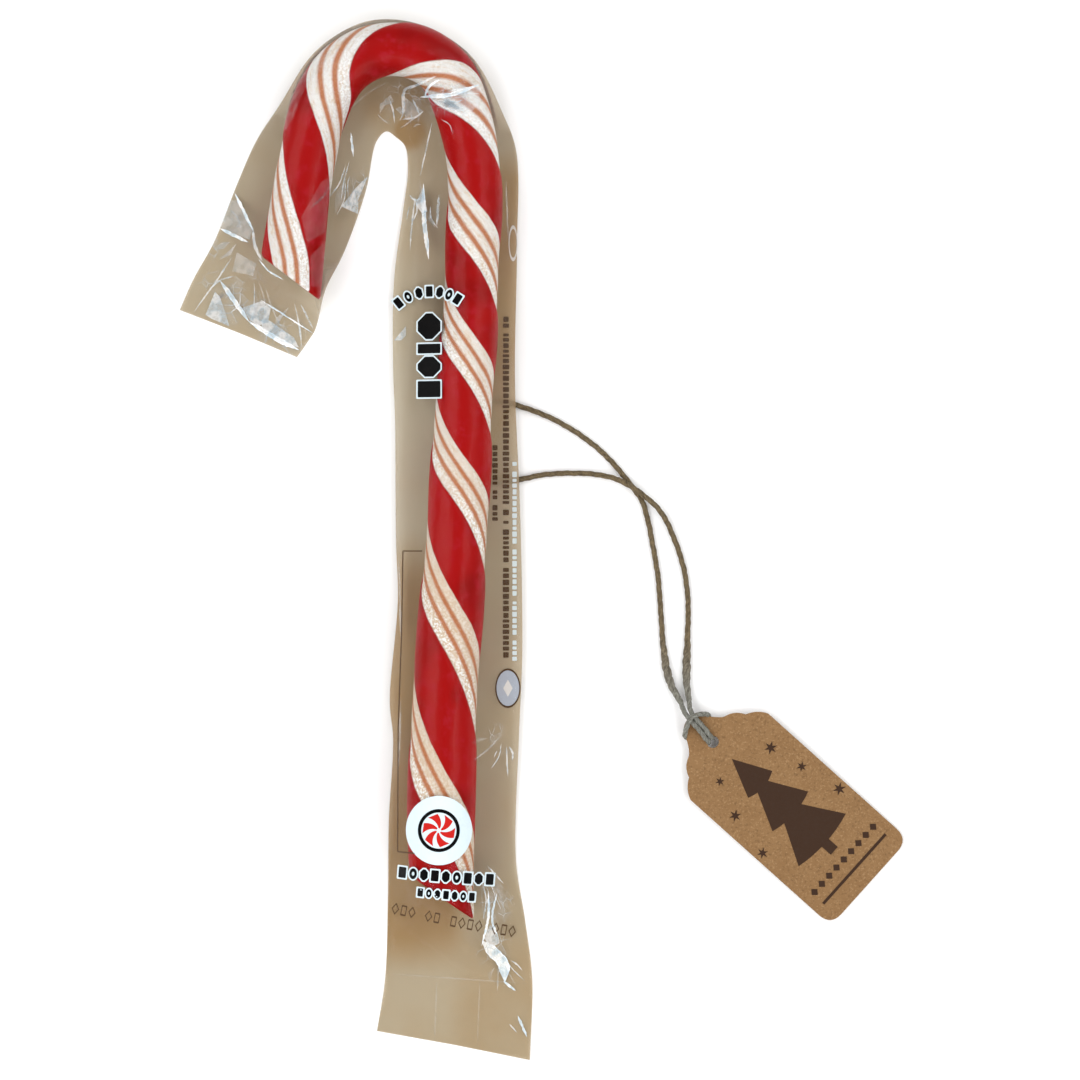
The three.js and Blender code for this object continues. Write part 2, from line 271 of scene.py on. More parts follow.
@dataclass
class NodeKit:
    """Adds nodes to a material's tree and joins them."""

    tree: bpy.types.NodeTree

    @classmethod
    def fresh(cls, name: str) -> tuple[Material, "NodeKit"]:
        material = bpy.data.materials.new(name)
        material.use_nodes = True
        material.node_tree.nodes.clear()
        return material, cls(material.node_tree)

    def add(self, kind: str, inputs: dict | None = None, **settings: object) -> bpy.types.Node:
        """A node with its settings made and its inputs set or joined.

        Args:
            kind: the node's type, without the word ShaderNode.
            inputs: values or output sockets for its inputs, by name or number.
            settings: properties of the node itself.

        Returns:
            The node.
        """
        node = self.tree.nodes.new(f"ShaderNode{kind}")
        for name, value in settings.items():
            setattr(node, name, value)
        for name, value in (inputs or {}).items():
            if isinstance(value, Socket):
                self.tree.links.new(value, node.inputs[name])
            elif isinstance(value, tuple) and len(value) == 3 and node.inputs[name].type == "RGBA":
                node.inputs[name].default_value = (*value, 1.0)
            else:
                node.inputs[name].default_value = value
        return node

    def maths(self, operation: str, *values: object, clamp: bool = False) -> Socket:
        """The result of one sum on numbers or sockets."""
        inputs = dict(enumerate(values))
        return self.add("Math", inputs, operation=operation, use_clamp=clamp).outputs[0]

    def times(self, first: object, second: object, clamp: bool = False) -> Socket:
        """The product of two numbers or sockets."""
        return self.maths("MULTIPLY", first, second, clamp=clamp)

    def round_strand(self, turn: Socket, along: Socket, stretch: float) -> Socket:
        """Places on a round strand, where noise draws out into threads.

        Args:
            turn: the share of the way round it.
            along: the distance along it.
            stretch: what that distance is multiplied by: the less, the longer the threads.

        Returns:
            A vector for a noise node.
        """
        angle = self.times(turn, 2 * math.pi)
        spot = {0: self.maths("COSINE", angle), 1: self.maths("SINE", angle)}
        return self.add("CombineXYZ", {**spot, 2: self.times(along, stretch)}).outputs[0]

    def noise(self, vector: Socket, scale: float, detail: float = 3.0, rough: float = 0.55) -> Socket:
        """Cloudy noise from 0 to 1 at places given by a vector."""
        inputs = {"Vector": vector, "Scale": scale, "Detail": detail, "Roughness": rough}
        return self.add("TexNoise", inputs).outputs["Fac"]

    def remap(
        self, value: object, low: float, high: float, to_low: float = 0.0, to_high: float = 1.0
    ) -> Socket:
        """A number moved from one range to another, and kept inside it."""
        inputs = {0: value, 1: low, 2: high, 3: to_low, 4: to_high}
        return self.add("MapRange", inputs, clamp=True, interpolation_type="SMOOTHSTEP").outputs[0]

    def blend(self, share: object, first: object, second: object, mode: str = "MIX") -> Socket:
        """Two colours mixed by a share."""
        node = self.add("Mix", {0: share, 6: first, 7: second}, data_type="RGBA", blend_type=mode)
        return node.outputs[2]

    def ramp(self, value: Socket, stops: Sequence[tuple[float, Colour]]) -> Socket:
        """Colours looked up along a scale.

        Args:
            value: the place on the scale, from 0 to 1.
            stops: places on it and their colours, with even changes between them.

        Returns:
            The colour.
        """
        node = self.add("ValToRGB", {0: value})
        marks = node.color_ramp.elements
        while len(marks) < len(stops):
            marks.new(1.0)
        for mark, (at, colour) in zip(marks, stops):
            mark.position, mark.color = at, (*colour, 1.0)
        return node.outputs[0]

    def mark(self, name: str) -> Socket:
        """A number that the mesh carries for each vertex."""
        return self.add("Attribute", attribute_name=name).outputs["Fac"]

    def place(self) -> Socket:
        """Where a point is on the object, in metres."""
        return self.add("TexCoord").outputs["Object"]

    def bump(self, height: Socket, distance: float, strength: float = 1.0) -> Socket:
        """A normal tilted by a height, in millimetres at full strength."""
        inputs = {"Height": height, "Distance": distance * MM, "Strength": strength}
        return self.add("Bump", inputs).outputs["Normal"]

    def finish(self, shader: Socket) -> None:
        """Joins a shader to the material's output."""
        self.add("OutputMaterial", {"Surface": shader})


# ------ finishes


@dataclass(frozen=True)
class SugarFinish:
    """Pulled and twisted boiled sugar: red bands, and white ones with two fine orange lines."""

    red: Colour = (0.335, 0.0030, 0.0034)
    deep_red: Colour = (0.25, 0.0018, 0.0020)
    # Painted sheen: the film's soft reflection over the red, as rosy patches.
    rosy_sheen: Colour = (0.37, 0.012, 0.024)
    white: Colour = (0.76, 0.75, 0.75)
    lower_white: Colour = (0.65, 0.53, 0.42)
    cream: Colour = (0.60, 0.44, 0.28)
    # A bluish white for the flecks: air in the sugar, and painted sparkle where light would glint.
    sparkle_fleck: Colour = (0.93, 0.96, 1.0)
    orange: Colour = (0.42, 0.120, 0.030)
    pale_orange: Colour = (0.54, 0.24, 0.10)
    # Across one white and one red band: where the white begins, is full, fades and has ended, and
    # the same for both orange lines on it.
    white_band: tuple[tuple[float, ...], ...] = ((0.0, 0.012, 0.494, 0.506),)
    orange_lines: tuple[tuple[float, ...], ...] = (
        (0.118, 0.148, 0.180, 0.212), (0.284, 0.316, 0.352, 0.384),
    )
    # How far the bands' edges waver, as a share of one white and one red band.
    waver: float = 0.016
    # The distances from the tip, in decimetres, between which the white turns creamier.
    creamier: tuple[float, float] = (1.0, 1.9)
    # How rough the red and the white are.
    red_rough: float = 0.42
    white_rough: float = 0.24

    @staticmethod
    def stripes(kit: NodeKit, band: Socket, edges: Sequence[tuple[float, ...]]) -> Socket:
        """Where some stripes lie across the bands.

        Args:
            kit: the material's nodes.
            band: the place across one white and one red band, from 0 to 1.
            edges: where each stripe begins, is full, fades and has ended.

        Returns:
            1 on a stripe and 0 off it.
        """
        off, on = (0.0, 0.0, 0.0), (1.0, 1.0, 1.0)
        stops = [stop for stripe in edges for stop in zip(stripe, (off, on, on, off))]
        return kit.ramp(band, [*stops, (1.0, off)])

    def red_sugar(self, kit: NodeKit, place: Socket, patches: Socket) -> Socket:
        """The red bands' colour, from clear deep patches to rosy patches of painted sheen from the film.

        Args:
            kit: the material's nodes.
            place: where a point is on the object.
            patches: broad soft noise.

        Returns:
            The colour.
        """
        red = kit.blend(kit.remap(patches, 0.44, 0.66), self.red, self.deep_red)
        # Painted sheen: rosy patches stand in for the film's reflection over the red.
        painted_sheen = kit.remap(kit.noise(place, 380.0, 4.0, 0.7), 0.50, 0.68, 0.0, 0.7)
        return kit.blend(painted_sheen, red, self.rosy_sheen)

    def white_sugar(self, kit: NodeKit, along: Socket, band: Socket, noises: Sequence[Socket]) -> Socket:
        """The white bands' colour, creamy in streaks and flecked with bright bluish white: flecks of air with
        painted sparkle.

        Args:
            kit: the material's nodes.
            along: the distance from the tip, in decimetres.
            band: the place across one white and one red band, from 0 to 1.
            noises: the streaks, the fibres, the grain and the patches.

        Returns:
            The colour.
        """
        streaks, fibres, grain, patches = noises
        flecks = kit.times(kit.remap(grain, 0.46, 0.55), kit.remap(patches, 0.3, 0.6, 0.5, 1.0))
        milky = kit.blend(kit.remap(along, *self.creamier), self.white, self.lower_white)
        white = kit.blend(kit.remap(streaks, 0.46, 0.68, 0.0, 0.7), milky, self.cream)
        # Painted sparkle: bright bluish flecks, fuller over the later part of each white band, stand in for
        # highlights.
        painted_sparkle = kit.times(flecks, kit.remap(band, 0.22, 0.36, 0.35, 1.0))
        white = kit.blend(painted_sparkle, white, self.sparkle_fleck)
        return kit.blend(kit.remap(fibres, 0.56, 0.72, 0.0, 0.5), white, self.cream)

    def material(self) -> Material:
        """Builds the finish. U of the Strands map runs 0 to 1 round both pairs of bands."""
        material, kit = NodeKit.fresh("pulled_sugar")
        parts = kit.add("SeparateXYZ", {0: kit.add("UVMap", uv_map="Strands").outputs[0]})
        turn, along = parts.outputs[0], parts.outputs[1]
        place = kit.place()
        waver = kit.maths("SUBTRACT", kit.noise(place, 320.0, 2.0), 0.5)
        band = kit.maths("FRACT", kit.maths("MULTIPLY_ADD", waver, self.waver, kit.times(turn, 2.0)))
        white_share = self.stripes(kit, band, self.white_band)
        orange_share = self.stripes(kit, band, self.orange_lines)
        streaks = kit.noise(kit.round_strand(turn, along, 5.0), 9.0, 4.0, 0.65)
        fibres = kit.noise(kit.round_strand(turn, along, 28.0), 16.0, 3.0, 0.7)
        grain = kit.noise(place, 2100.0, 3.0, 0.65)
        patches = kit.noise(place, 70.0, 2.0)
        white = self.white_sugar(kit, along, band, (streaks, fibres, grain, patches))
        orange = kit.blend(kit.remap(fibres, 0.45, 0.72), self.orange, self.pale_orange)
        pale = kit.blend(kit.times(orange_share, 0.95), white, orange)
        colour = kit.blend(white_share, self.red_sugar(kit, place, patches), pale)
        sparkle = kit.times(kit.maths("ADD", grain, fibres), kit.times(white_share, 1.8))
        grooves = kit.times(orange_share, -0.5)
        relief = kit.maths("ADD", kit.maths("ADD", grooves, sparkle), kit.times(streaks, 0.4))
        inputs = {
            "Base Color": colour,
            "Roughness": kit.blend(white_share, (self.red_rough,) * 3, (self.white_rough,) * 3),
            "IOR": 1.45,
            "Specular IOR Level": kit.remap(white_share, 0.0, 1.0, 0.10, 0.5),
            "Subsurface Weight": 0.08,
            "Subsurface Scale": 0.0012,
            "Normal": kit.bump(relief, 0.16, 0.8),
        }
        shader = kit.add("BsdfPrincipled", inputs)
        shader.inputs["Subsurface Radius"].default_value = (1.0, 0.35, 0.25)
        kit.finish(shader.outputs[0])
        return material


@dataclass(frozen=True)
class FilmFinish:
    """Clear film with a tan cast, darkened in places by painted shade, and crumpled in places, with painted
    glints.
    """

    name: str
    tint: Colour
    shaded_tint: Colour
    gloss: float = 1.36
    shine: float = 0.2
    roughness: float = 0.11
    # The share of light that the film's own milky body sends back, and how much paler that body
    # is than what shows through the clear rest.
    milk: float = 0.0
    body: float = 1.0
    # A pale bluish white painted on crumpled film as glints.
    crumple_glint: Colour = (0.62, 0.70, 0.76)
    # How much the tan cast varies from place to place.
    mottle: float = 0.07

    @staticmethod
    def cells(kit: NodeKit, place: Socket) -> tuple[bpy.types.Node, bpy.types.Node]:
        """The facets of crumpled film, and the lines between them.

        Args:
            kit: the material's nodes.
            place: where a point is on the object.

        Returns:
            The node of the facets, and the node of the distance to the nearest line.
        """
        bend = kit.add("TexNoise", {"Vector": place, "Scale": 240.0, "Detail": 2.0}).outputs["Color"]
        warped = kit.add("Mix", {0: 0.0008, 4: place, 5: bend}, data_type="VECTOR").outputs[1]
        inputs = {"Vector": warped, "Scale": 420.0, "Randomness": 1.0}
        return kit.add("TexVoronoi", inputs), kit.add("TexVoronoi", inputs, feature="DISTANCE_TO_EDGE")

    def clear_body(self, kit: NodeKit, tint: Socket) -> Socket:
        """The film without its gloss: tinted and clear, partly hidden by its own milky body.

        Args:
            kit: the material's nodes.
            tint: the film's colour.

        Returns:
            The shader.
        """
        clear = kit.add("BsdfTransparent", {"Color": tint}).outputs[0]
        if not self.milk:
            return clear
        twice = kit.blend(1.0, kit.blend(1.0, tint, tint, "MULTIPLY"), (self.body,) * 3, "MULTIPLY")
        milky_body = kit.add("BsdfDiffuse", {"Color": twice}).outputs[0]
        return kit.add("MixShader", {0: self.milk, 1: clear, 2: milky_body}).outputs[0]

    def material(self) -> Material:
        """Builds the finish. Two marks on the mesh say where it has painted shade and where it is crumpled,
        with painted glints.
        """
        material, kit = NodeKit.fresh(self.name)
        place = kit.place()
        cloud = kit.remap(kit.noise(place, 70.0, 3.0), 0.35, 0.65, -self.mottle, self.mottle)
        # Painted shade: the tan cast deepens beside the cane and inside the crook, where the cane's shadow
        # would fall.
        painted_shade = kit.maths("ADD", kit.mark("painted_shade"), cloud, clamp=True)
        clear = self.clear_body(kit, kit.blend(painted_shade, self.tint, self.shaded_tint))
        waves = kit.noise(place, 170.0, 3.0, 0.5)
        fine = kit.noise(place, 800.0, 2.0, 0.5)
        facets, lines = self.cells(kit, place)
        crumpled = kit.mark("crumpled")
        height = kit.maths("ADD", waves, kit.times(fine, 0.10))
        height = kit.maths("ADD", height, kit.times(kit.times(facets.outputs[0], crumpled), 0.35))
        normal = kit.bump(height, 0.9, 0.45)
        gloss = {"Color": (1.0, 1.0, 1.0), "Roughness": self.roughness, "Normal": normal}
        glossy = kit.add("BsdfGlossy", gloss).outputs[0]
        fresnel = kit.add("Fresnel", {"IOR": self.gloss, "Normal": normal}).outputs[0]
        mirror = kit.times(fresnel, self.shine, clamp=True)
        film = kit.add("MixShader", {0: mirror, 1: clear, 2: glossy}).outputs[0]
        # Painted glints: on crumpled film, facets and the lines between them turn a pale bluish white.
        facet = kit.add("SeparateXYZ", {0: facets.outputs[1]}).outputs[0]
        facet = kit.times(kit.remap(facet, 0.45, 1.0, 0.0, 0.1), kit.remap(waves, 0.40, 0.58))
        line = kit.times(kit.remap(lines.outputs[0], 0.05, 0.0), kit.remap(waves, 0.42, 0.6, 0.0, 0.4))
        share = kit.times(crumpled, kit.maths("MAXIMUM", facet, line), clamp=True)
        pale = {"Base Color": self.crumple_glint, "Roughness": 0.3, "Normal": normal}
        milky = kit.add("BsdfPrincipled", pale).outputs[0]
        kit.finish(kit.add("MixShader", {0: share, 1: film, 2: milky}).outputs[0])
        return material


class FoldGlint(Enum):
    """Painted glints on the film's folds, streaks of bluish white: how much of what lies under it each hides,
    and how unevenly.
    """

    VEIL = ("fold_veil", 0.045, 0.2)
    TRACE = ("fold_trace", 0.09, 1.0)
    FAINT = ("fold_faint", 0.22, 0.6)
    HALF = ("fold_half", 0.50, 0.6)
    BRIGHT = ("fold_bright", 0.90, 0.35)

    def material(self) -> Material:
        """Builds the glint's finish: a painted glint, a streaky bluish white."""
        name, share, uneven = self.value
        material, kit = NodeKit.fresh(name)
        streaks = kit.noise(kit.place(), 1300.0, 3.0, 0.6)
        clouds = kit.noise(kit.place(), 420.0, 2.0, 0.5)
        bluish, pale = (0.66, 0.80, 0.90), (0.93, 0.95, 0.96)
        colour = kit.blend(kit.remap(clouds, 0.42, 0.60), bluish, pale)
        inputs = {"Base Color": colour, "Roughness": 0.22, "Normal": kit.bump(streaks, 0.1)}
        white = kit.add("BsdfPrincipled", inputs)
        clear = kit.add("BsdfTransparent", {"Color": (1.0, 1.0, 1.0)})
        streaky = kit.remap(streaks, 0.34, 0.55, 1 - 0.4 * uneven, 1.0)
        cloudy = kit.remap(clouds, 0.36, 0.56, 1 - 0.65 * uneven, 1.0)
        cover = kit.times(kit.times(streaky, cloudy), kit.times(kit.mark("upper"), share))
        kit.finish(kit.add("MixShader", {0: cover, 1: clear.outputs[0], 2: white.outputs[0]}).outputs[0])
        return material


class Ink(Enum):
    """The inks of the print, each with its colour."""

    BLACK = ("black_ink", (0.002, 0.002, 0.0025))
    WHITE = ("white_ink", (0.66, 0.77, 0.82))
    RED = ("red_ink", (0.52, 0.016, 0.013))
    BROWN = ("brown_ink", (0.085, 0.050, 0.028))
    DARK = ("dark_ink", (0.030, 0.018, 0.010))
    LAVENDER = ("lavender_ink", (0.42, 0.47, 0.56))
    PALE = ("pale_ink", (0.70, 0.70, 0.70))
    TAG = ("tag_ink", (0.046, 0.025, 0.016))

    def material(self) -> Material:
        """Builds the ink, a little uneven in cover, as rolled on."""
        name, colour = self.value
        material, kit = NodeKit.fresh(name)
        cover = kit.noise(kit.place(), 1400.0, 4.0, 0.7)
        lighter = tuple(c * 0.9 + 0.006 for c in colour)
        mixed = kit.blend(kit.remap(cover, 0.45, 0.72, 0.0, 0.5), colour, lighter)
        rough = kit.remap(cover, 0.3, 0.7, 0.38, 0.55)
        inputs = {"Base Color": mixed, "Roughness": rough, "Specular IOR Level": 0.03}
        inputs["Normal"] = kit.bump(cover, 0.02)
        kit.finish(kit.add("BsdfPrincipled", inputs).outputs[0])
        return material


@dataclass(frozen=True)
class TwineFinish:
    """Olive-brown waxed hemp twine, with fibres along each ply, turning grey towards the tag, where it is
    tied.
    """

    dark: Colour = (0.034, 0.022, 0.008)
    light: Colour = (0.205, 0.150, 0.078)
    grey_dark: Colour = (0.085, 0.078, 0.060)
    grey_light: Colour = (0.27, 0.275, 0.245)
    # Places along Y, in metres, between which the twine turns from brown to grey.
    grey_from: float = -0.018
    grey_to: float = -0.038

    def material(self) -> Material:
        """Builds the finish. U of the Strands map goes round a ply, and V along it in millimetres."""
        material, kit = NodeKit.fresh("hemp_twine")
        parts = kit.add("SeparateXYZ", {0: kit.add("UVMap", uv_map="Strands").outputs[0]})
        across = kit.add("SeparateXYZ", {0: kit.place()}).outputs[1]
        greying = kit.remap(across, self.grey_from, self.grey_to)
        dark = kit.blend(greying, self.dark, self.grey_dark)
        light = kit.blend(greying, self.light, self.grey_light)
        threads = kit.noise(kit.round_strand(parts.outputs[0], parts.outputs[1], 0.35), 4.0, 4.0, 0.7)
        patches = kit.noise(kit.place(), 200.0, 3.0)
        colour = kit.blend(kit.remap(threads, 0.42, 0.58), dark, light)
        dull = kit.blend(0.5, dark, light)
        colour = kit.blend(kit.remap(patches, 0.46, 0.66, 0.0, 0.4), colour, dull)
        rough = kit.remap(threads, 0.3, 0.7, 0.55, 0.8)
        inputs = {"Base Color": colour, "Roughness": rough, "Specular IOR Level": 0.3}
        inputs["Normal"] = kit.bump(threads, 0.12, 0.8)
        kit.finish(kit.add("BsdfPrincipled", inputs).outputs[0])
        return material


@dataclass(frozen=True)
class KraftFinish:
    """Uncoated brown card, flecked with pale and dark fibres."""

    base: Colour = (0.222, 0.121, 0.050)
    pale: Colour = (0.37, 0.23, 0.115)
    dark: Colour = (0.115, 0.060, 0.024)

    def material(self) -> Material:
        """Builds the finish."""
        material, kit = NodeKit.fresh("kraft_card")
        place = kit.place()
        pulp = kit.noise(place, 260.0, 4.0, 0.75)
        flecks = kit.noise(place, 2300.0, 3.0, 0.6)
        other = kit.noise(place, 1800.0, 3.0, 0.6)
        colour = kit.blend(kit.remap(pulp, 0.40, 0.62, 0.0, 0.14), self.base, self.pale)
        colour = kit.blend(kit.remap(flecks, 0.52, 0.70, 0.0, 0.60), colour, self.pale)
        colour = kit.blend(kit.remap(other, 0.52, 0.70, 0.0, 0.55), colour, self.dark)
        rough = kit.remap(pulp, 0.3, 0.7, 0.80, 0.92)
        inputs = {"Base Color": colour, "Roughness": rough, "Specular IOR Level": 0.2}
        inputs["Normal"] = kit.bump(flecks, 0.05, 0.8)
        kit.finish(kit.add("BsdfPrincipled", inputs).outputs[0])
        return material


@dataclass(frozen=True)
class FloorFinish:
    """A plain pale table top."""

    colour: Colour = (0.95, 0.95, 0.95)

    def material(self) -> Material:
        """Builds the finish."""
        material, kit = NodeKit.fresh("pale_floor")
        inputs = {"Base Color": self.colour, "Roughness": 0.9, "Specular IOR Level": 0.1}
        kit.finish(kit.add("BsdfPrincipled", inputs).outputs[0])
        return material


# ------ the sweet


@dataclass
class Twist:
    """How the bands wind: two pairs of them, drawn out longer towards the cane's foot.

    The marks are (distance from the tip, value), with straight lines between them.
    """

    # How far apart the white bands follow one another over the crest.
    pitch_marks: Marks = (
        (0, 110), (6, 50), (12, 42), (22, 36), (30, 33), (80, 32), (125, 25), (160, 28), (210, 39),
    )
    # How much of a pair of bands has passed over the crest where the cane begins.
    first_band: float = 0.19
    # The share of the pitch by which a band leans from one side of the cane to the other.
    lean_marks: Marks = ((0, 1.1), (15, 0.95), (60, 0.6), (90, 0.7), (130, 0.9), (220, 0.95))
    # The white bands' share of the pitch over the crest, and how much they swell at both sides.
    white_marks: Marks = ((0, 0.41), (70, 0.48), (210, 0.38))
    swell: float = 0.10
    # The pitch is added up in steps, from before the tip to past the foot.
    sum_from: float = -30.0
    sum_to: float = 280.0
    sum_step: float = 0.5
    # Into how many angles a ring is divided.
    steps: int = 72

    def __post_init__(self) -> None:
        """Adds up the pitch along the cane, from a little before its tip to a little past its foot."""
        self.degrees = np.linspace(0.0, 360.0, self.steps + 1)
        self.places = np.arange(self.sum_from, self.sum_to, self.sum_step)
        passed = np.cumsum(self.sum_step / np.interp(self.places, *zip(*self.pitch_marks)))
        self.passed = self.first_band + passed - np.interp(0.0, self.places, passed)

    def turned(self, distance: Array, shift: Array) -> Array:
        """Band numbers all round the cane.

        Args:
            distance: distances from the tip.
            shift: how far the outer side of each ring lies along the cane from its middle.

        Returns:
            One row for each distance and one column for each of `degrees`. A whole number is
            the start of a white band, and a half one the start of a red band.
        """
        over = self.degrees[: self.steps // 2 + 1][None, :]
        side = np.cos(np.radians(over))
        at = distance[:, None] + shift[:, None] * side
        swell = self.swell * side**2
        number = np.interp(at, self.places, self.passed) + swell / 2
        number += np.interp(at, *zip(*self.lean_marks)) * (over - 90.0) / 180.0
        white = np.interp(at, *zip(*self.white_marks)) + swell
        whole = np.floor(number)
        part = number - whole
        half = np.where(part < white, 0.5 * part / white, 0.5 + 0.5 * (part - white) / (1 - white))
        number = whole + half
        share = np.linspace(0.0, 1.0, self.steps // 2 + 1)[1:]
        under = number[:, -1:] * (1 - share) + (number[:, :1] + 2.0) * share
        return np.hstack([number, under])

    def angles(self, distance: Array, shift: Array, bands: Array) -> Array:
        """Where given parts of the bands lie.

        Args:
            distance: distances from the tip.
            shift: how far the outer side of each ring lies along the cane from its middle.
            bands: the parts, from 0 to 2 for both pairs of bands.

        Returns:
            Angles in radians, one row for each distance and one column for each part.
        """
        turned = self.turned(distance, shift)
        result = np.empty((len(distance), len(bands)))
        for row, course in enumerate(turned):
            wanted = bands + 2.0 * np.ceil((course[0] - bands) / 2.0)
            result[row] = np.interp(wanted, course, self.degrees)
        return np.radians(result)


@dataclass
class SugarCane:
    """The boiled sweet: a twisted rope of two red and two striped white bands, bent to a crook."""

    crook_centre: tuple[float, float] = (7.6, 88.0)
    crook_radius: float = 15.0
    crook_degrees: tuple[float, ...] = (160, 130, 100, 70, 40, 10)
    short_leg: Places = ((-13.6, 54.9), (-12.7, 63.1), (-11.6, 71.5), (-10.1, 79.9))
    long_leg: Places = (
        (24.4, 81.0), (24.9, 71.5), (24.5, 58.9), (23.9, 46.3), (22.5, 25.3),
        (21.7, 8.5), (20.2, -12.5), (18.7, -33.5), (18.0, -54.5), (18.0, -74.7),
    )
    # The rope's mean radius: (distance from the tip, radius), and how far the red stands out of it.
    radius_marks: Marks = ((0, 6.4), (50, 5.8), (110, 5.6), (130, 5.9), (205, 6.9), (250, 7.0))
    lobe: float = 0.3
    end_rounding: float = 0.9
    end_size: float = 0.9
    tip_slant: float = 0.6
    foot_slant: float = 0.7
    slant_length: float = 14.0
    film_under: float = 0.1
    hump_height: float = 1.6
    hump_middle_y: float = 5.0
    hump_reach: float = 81.0
    hump_fade_x: tuple[float, float] = (3.0, 8.0)
    # How close the mesh's rings lie, and how many round off each end.
    ring_gap: float = 0.45
    end_rings: int = 9
    trail_points: int = 720
    # Relief across one white and one red band: (part of the pair, height over the rope's own radius).
    relief_marks: Marks = (
        (0.0, -0.05), (0.06, -0.10), (0.13, -0.14), (0.16, -0.20), (0.19, -0.16), (0.25, -0.12),
        (0.30, -0.17), (0.33, -0.24), (0.365, -0.19), (0.43, -0.18), (0.485, -0.24), (0.505, -0.10),
        (0.53, 0.20), (0.58, 0.27), (0.68, 0.30), (0.80, 0.25), (0.92, 0.10), (1.0, -0.05),
    )
    # Where across them the mesh has a line along the cane, closest where the relief turns.
    mesh_lines: tuple[float, ...] = (
        0.0, 0.012, 0.03, 0.06, 0.09, 0.12, 0.135, 0.16, 0.185, 0.20, 0.225, 0.25, 0.275, 0.295, 0.31,
        0.333, 0.357, 0.37, 0.40, 0.43, 0.46, 0.485, 0.495, 0.505, 0.515, 0.53, 0.555, 0.58, 0.62, 0.66,
        0.70, 0.74, 0.78, 0.82, 0.86, 0.90, 0.94, 0.97, 0.988,
    )
    twist: Twist = field(default_factory=Twist)
    finish: SugarFinish = field(default_factory=SugarFinish)

    def __post_init__(self) -> None:
        """Lays the cane's line and takes close samples of it."""
        crook = [
            (
                self.crook_centre[0] + self.crook_radius * math.cos(math.radians(degrees)),
                self.crook_centre[1] + self.crook_radius * math.sin(math.radians(degrees)),
            )
            for degrees in self.crook_degrees
        ]
        self.line = SmoothLine([*self.short_leg, *crook, *self.long_leg])
        self.trail_distance = np.linspace(0.0, self.line.length, self.trail_points)
        self.trail = self.line.at(self.trail_distance)

    def hump(self, x: Array, y: Array) -> Array:
        """How high the long leg stands off the table, over the twine."""
        reach = np.minimum(np.abs(y - self.hump_middle_y) / self.hump_reach, 1.0)
        return self.hump_height * (1 - reach**4) ** 2 * smoothstep(*self.hump_fade_x, x)

    def core(self, distance: Array) -> Array:
        """The rope's mean radius at distances from the tip."""
        return np.interp(distance, *zip(*self.radius_marks))

    def end_factor(self, distance: Array) -> Array:
        """How much of the radius is left near the rounded ends.

        Args:
            distance: distances from the tip.

        Returns:
            A share from end_size to 1 for each distance.
        """
        from_end = np.minimum(distance, self.line.length - distance) / self.end_rounding
        rest = 1 - np.clip(from_end, 0.0, 1.0)
        return self.end_size + (1 - self.end_size) * np.sqrt(1 - rest**2)

    def slant(self, distance: Array) -> Array:
        """How the ends are cut askew.

        Args:
            distance: distances from the tip.

        Returns:
            How far a point moves along the cane for each millimetre that it lies across it.
        """
        tip = self.tip_slant * np.clip(1 - distance / self.slant_length, 0, 1)
        foot = self.foot_slant * np.clip(1 - (self.line.length - distance) / self.slant_length, 0, 1)
        return tip + foot

    def bands(self) -> Array:
        """The mesh's lines over both pairs of bands, from 0 to 2."""
        lines = np.array(self.mesh_lines)
        return np.concatenate([lines, lines + 1.0])

    def rings(self) -> Array:
        """Distances of the mesh's rings from the tip, close together at the rounded ends."""
        end = self.end_rounding * (1 - np.cos(np.linspace(0, math.pi / 2, self.end_rings)))
        count = round(self.line.length / self.ring_gap)
        middle = np.linspace(self.end_rounding, self.line.length - self.end_rounding, count)
        return np.concatenate([end[:-1], middle, self.line.length - end[-2::-1]])

    def corners(self, distance: Array, angle: Array, bands: Array) -> Array:
        """Works out the mesh's vertices.

        Args:
            distance: distances of its rings.
            angle: the angle of each vertex, one row a ring.
            bands: the part of the bands that each column lies on.

        Returns:
            The rings' vertices in millimetres, and then the middles of the tip and the foot.
        """
        relief = np.interp(bands % 1.0, *zip(*self.relief_marks))
        radius = (self.core(distance)[:, None] + relief[None, :]) * self.end_factor(distance)[:, None]
        centre, heading = self.line.at(distance), self.line.heading(distance)
        outward = np.stack([-heading[:, 1], heading[:, 0]], axis=1)
        across, up = radius * np.cos(angle), radius * np.sin(angle)
        plan = (
            centre[:, None, :]
            + outward[:, None, :] * across[..., None]
            + heading[:, None, :] * (self.slant(distance)[:, None] * across)[..., None]
        )
        middle = self.hump(*centre.T) + self.film_under + self.core(distance) + self.lobe
        solid = np.concatenate([plan, (middle[:, None] + up)[..., None]], axis=2)
        return np.vstack([solid.reshape(-1, 3), solid[0].mean(0), solid[-1].mean(0)])

    @staticmethod
    def strand_map(faces: Sequence[Sequence[int]], distance: Array, bands: Array) -> Array:
        """Places of the face corners round and along the sweet.

        Args:
            faces: the mesh's faces.
            distance: distances of its rings.
            bands: the part of the bands that each column lies on.

        Returns:
            For each face corner, its share of the way round both pairs of bands and its distance
            from the tip in decimetres.
        """
        columns, tip = len(bands), len(distance) * len(bands)
        share, along = np.append(bands, 2.0) / 2.0, distance / 100.0
        uvs = []
        for face in faces:
            spots = [divmod(corner, columns) if corner < tip else None for corner in face]
            wraps = {spot[1] for spot in spots if spot} == {0, columns - 1}
            for spot, corner in zip(spots, face):
                if spot is None:
                    others = [share[columns if wraps and s[1] == 0 else s[1]] for s in spots if s]
                    uvs.append((sum(others) / len(others), 0.0 if corner == tip else along[-1]))
                else:
                    row, column = spot
                    uvs.append((share[columns if wraps and column == 0 else column], along[row]))
        return np.array(uvs)

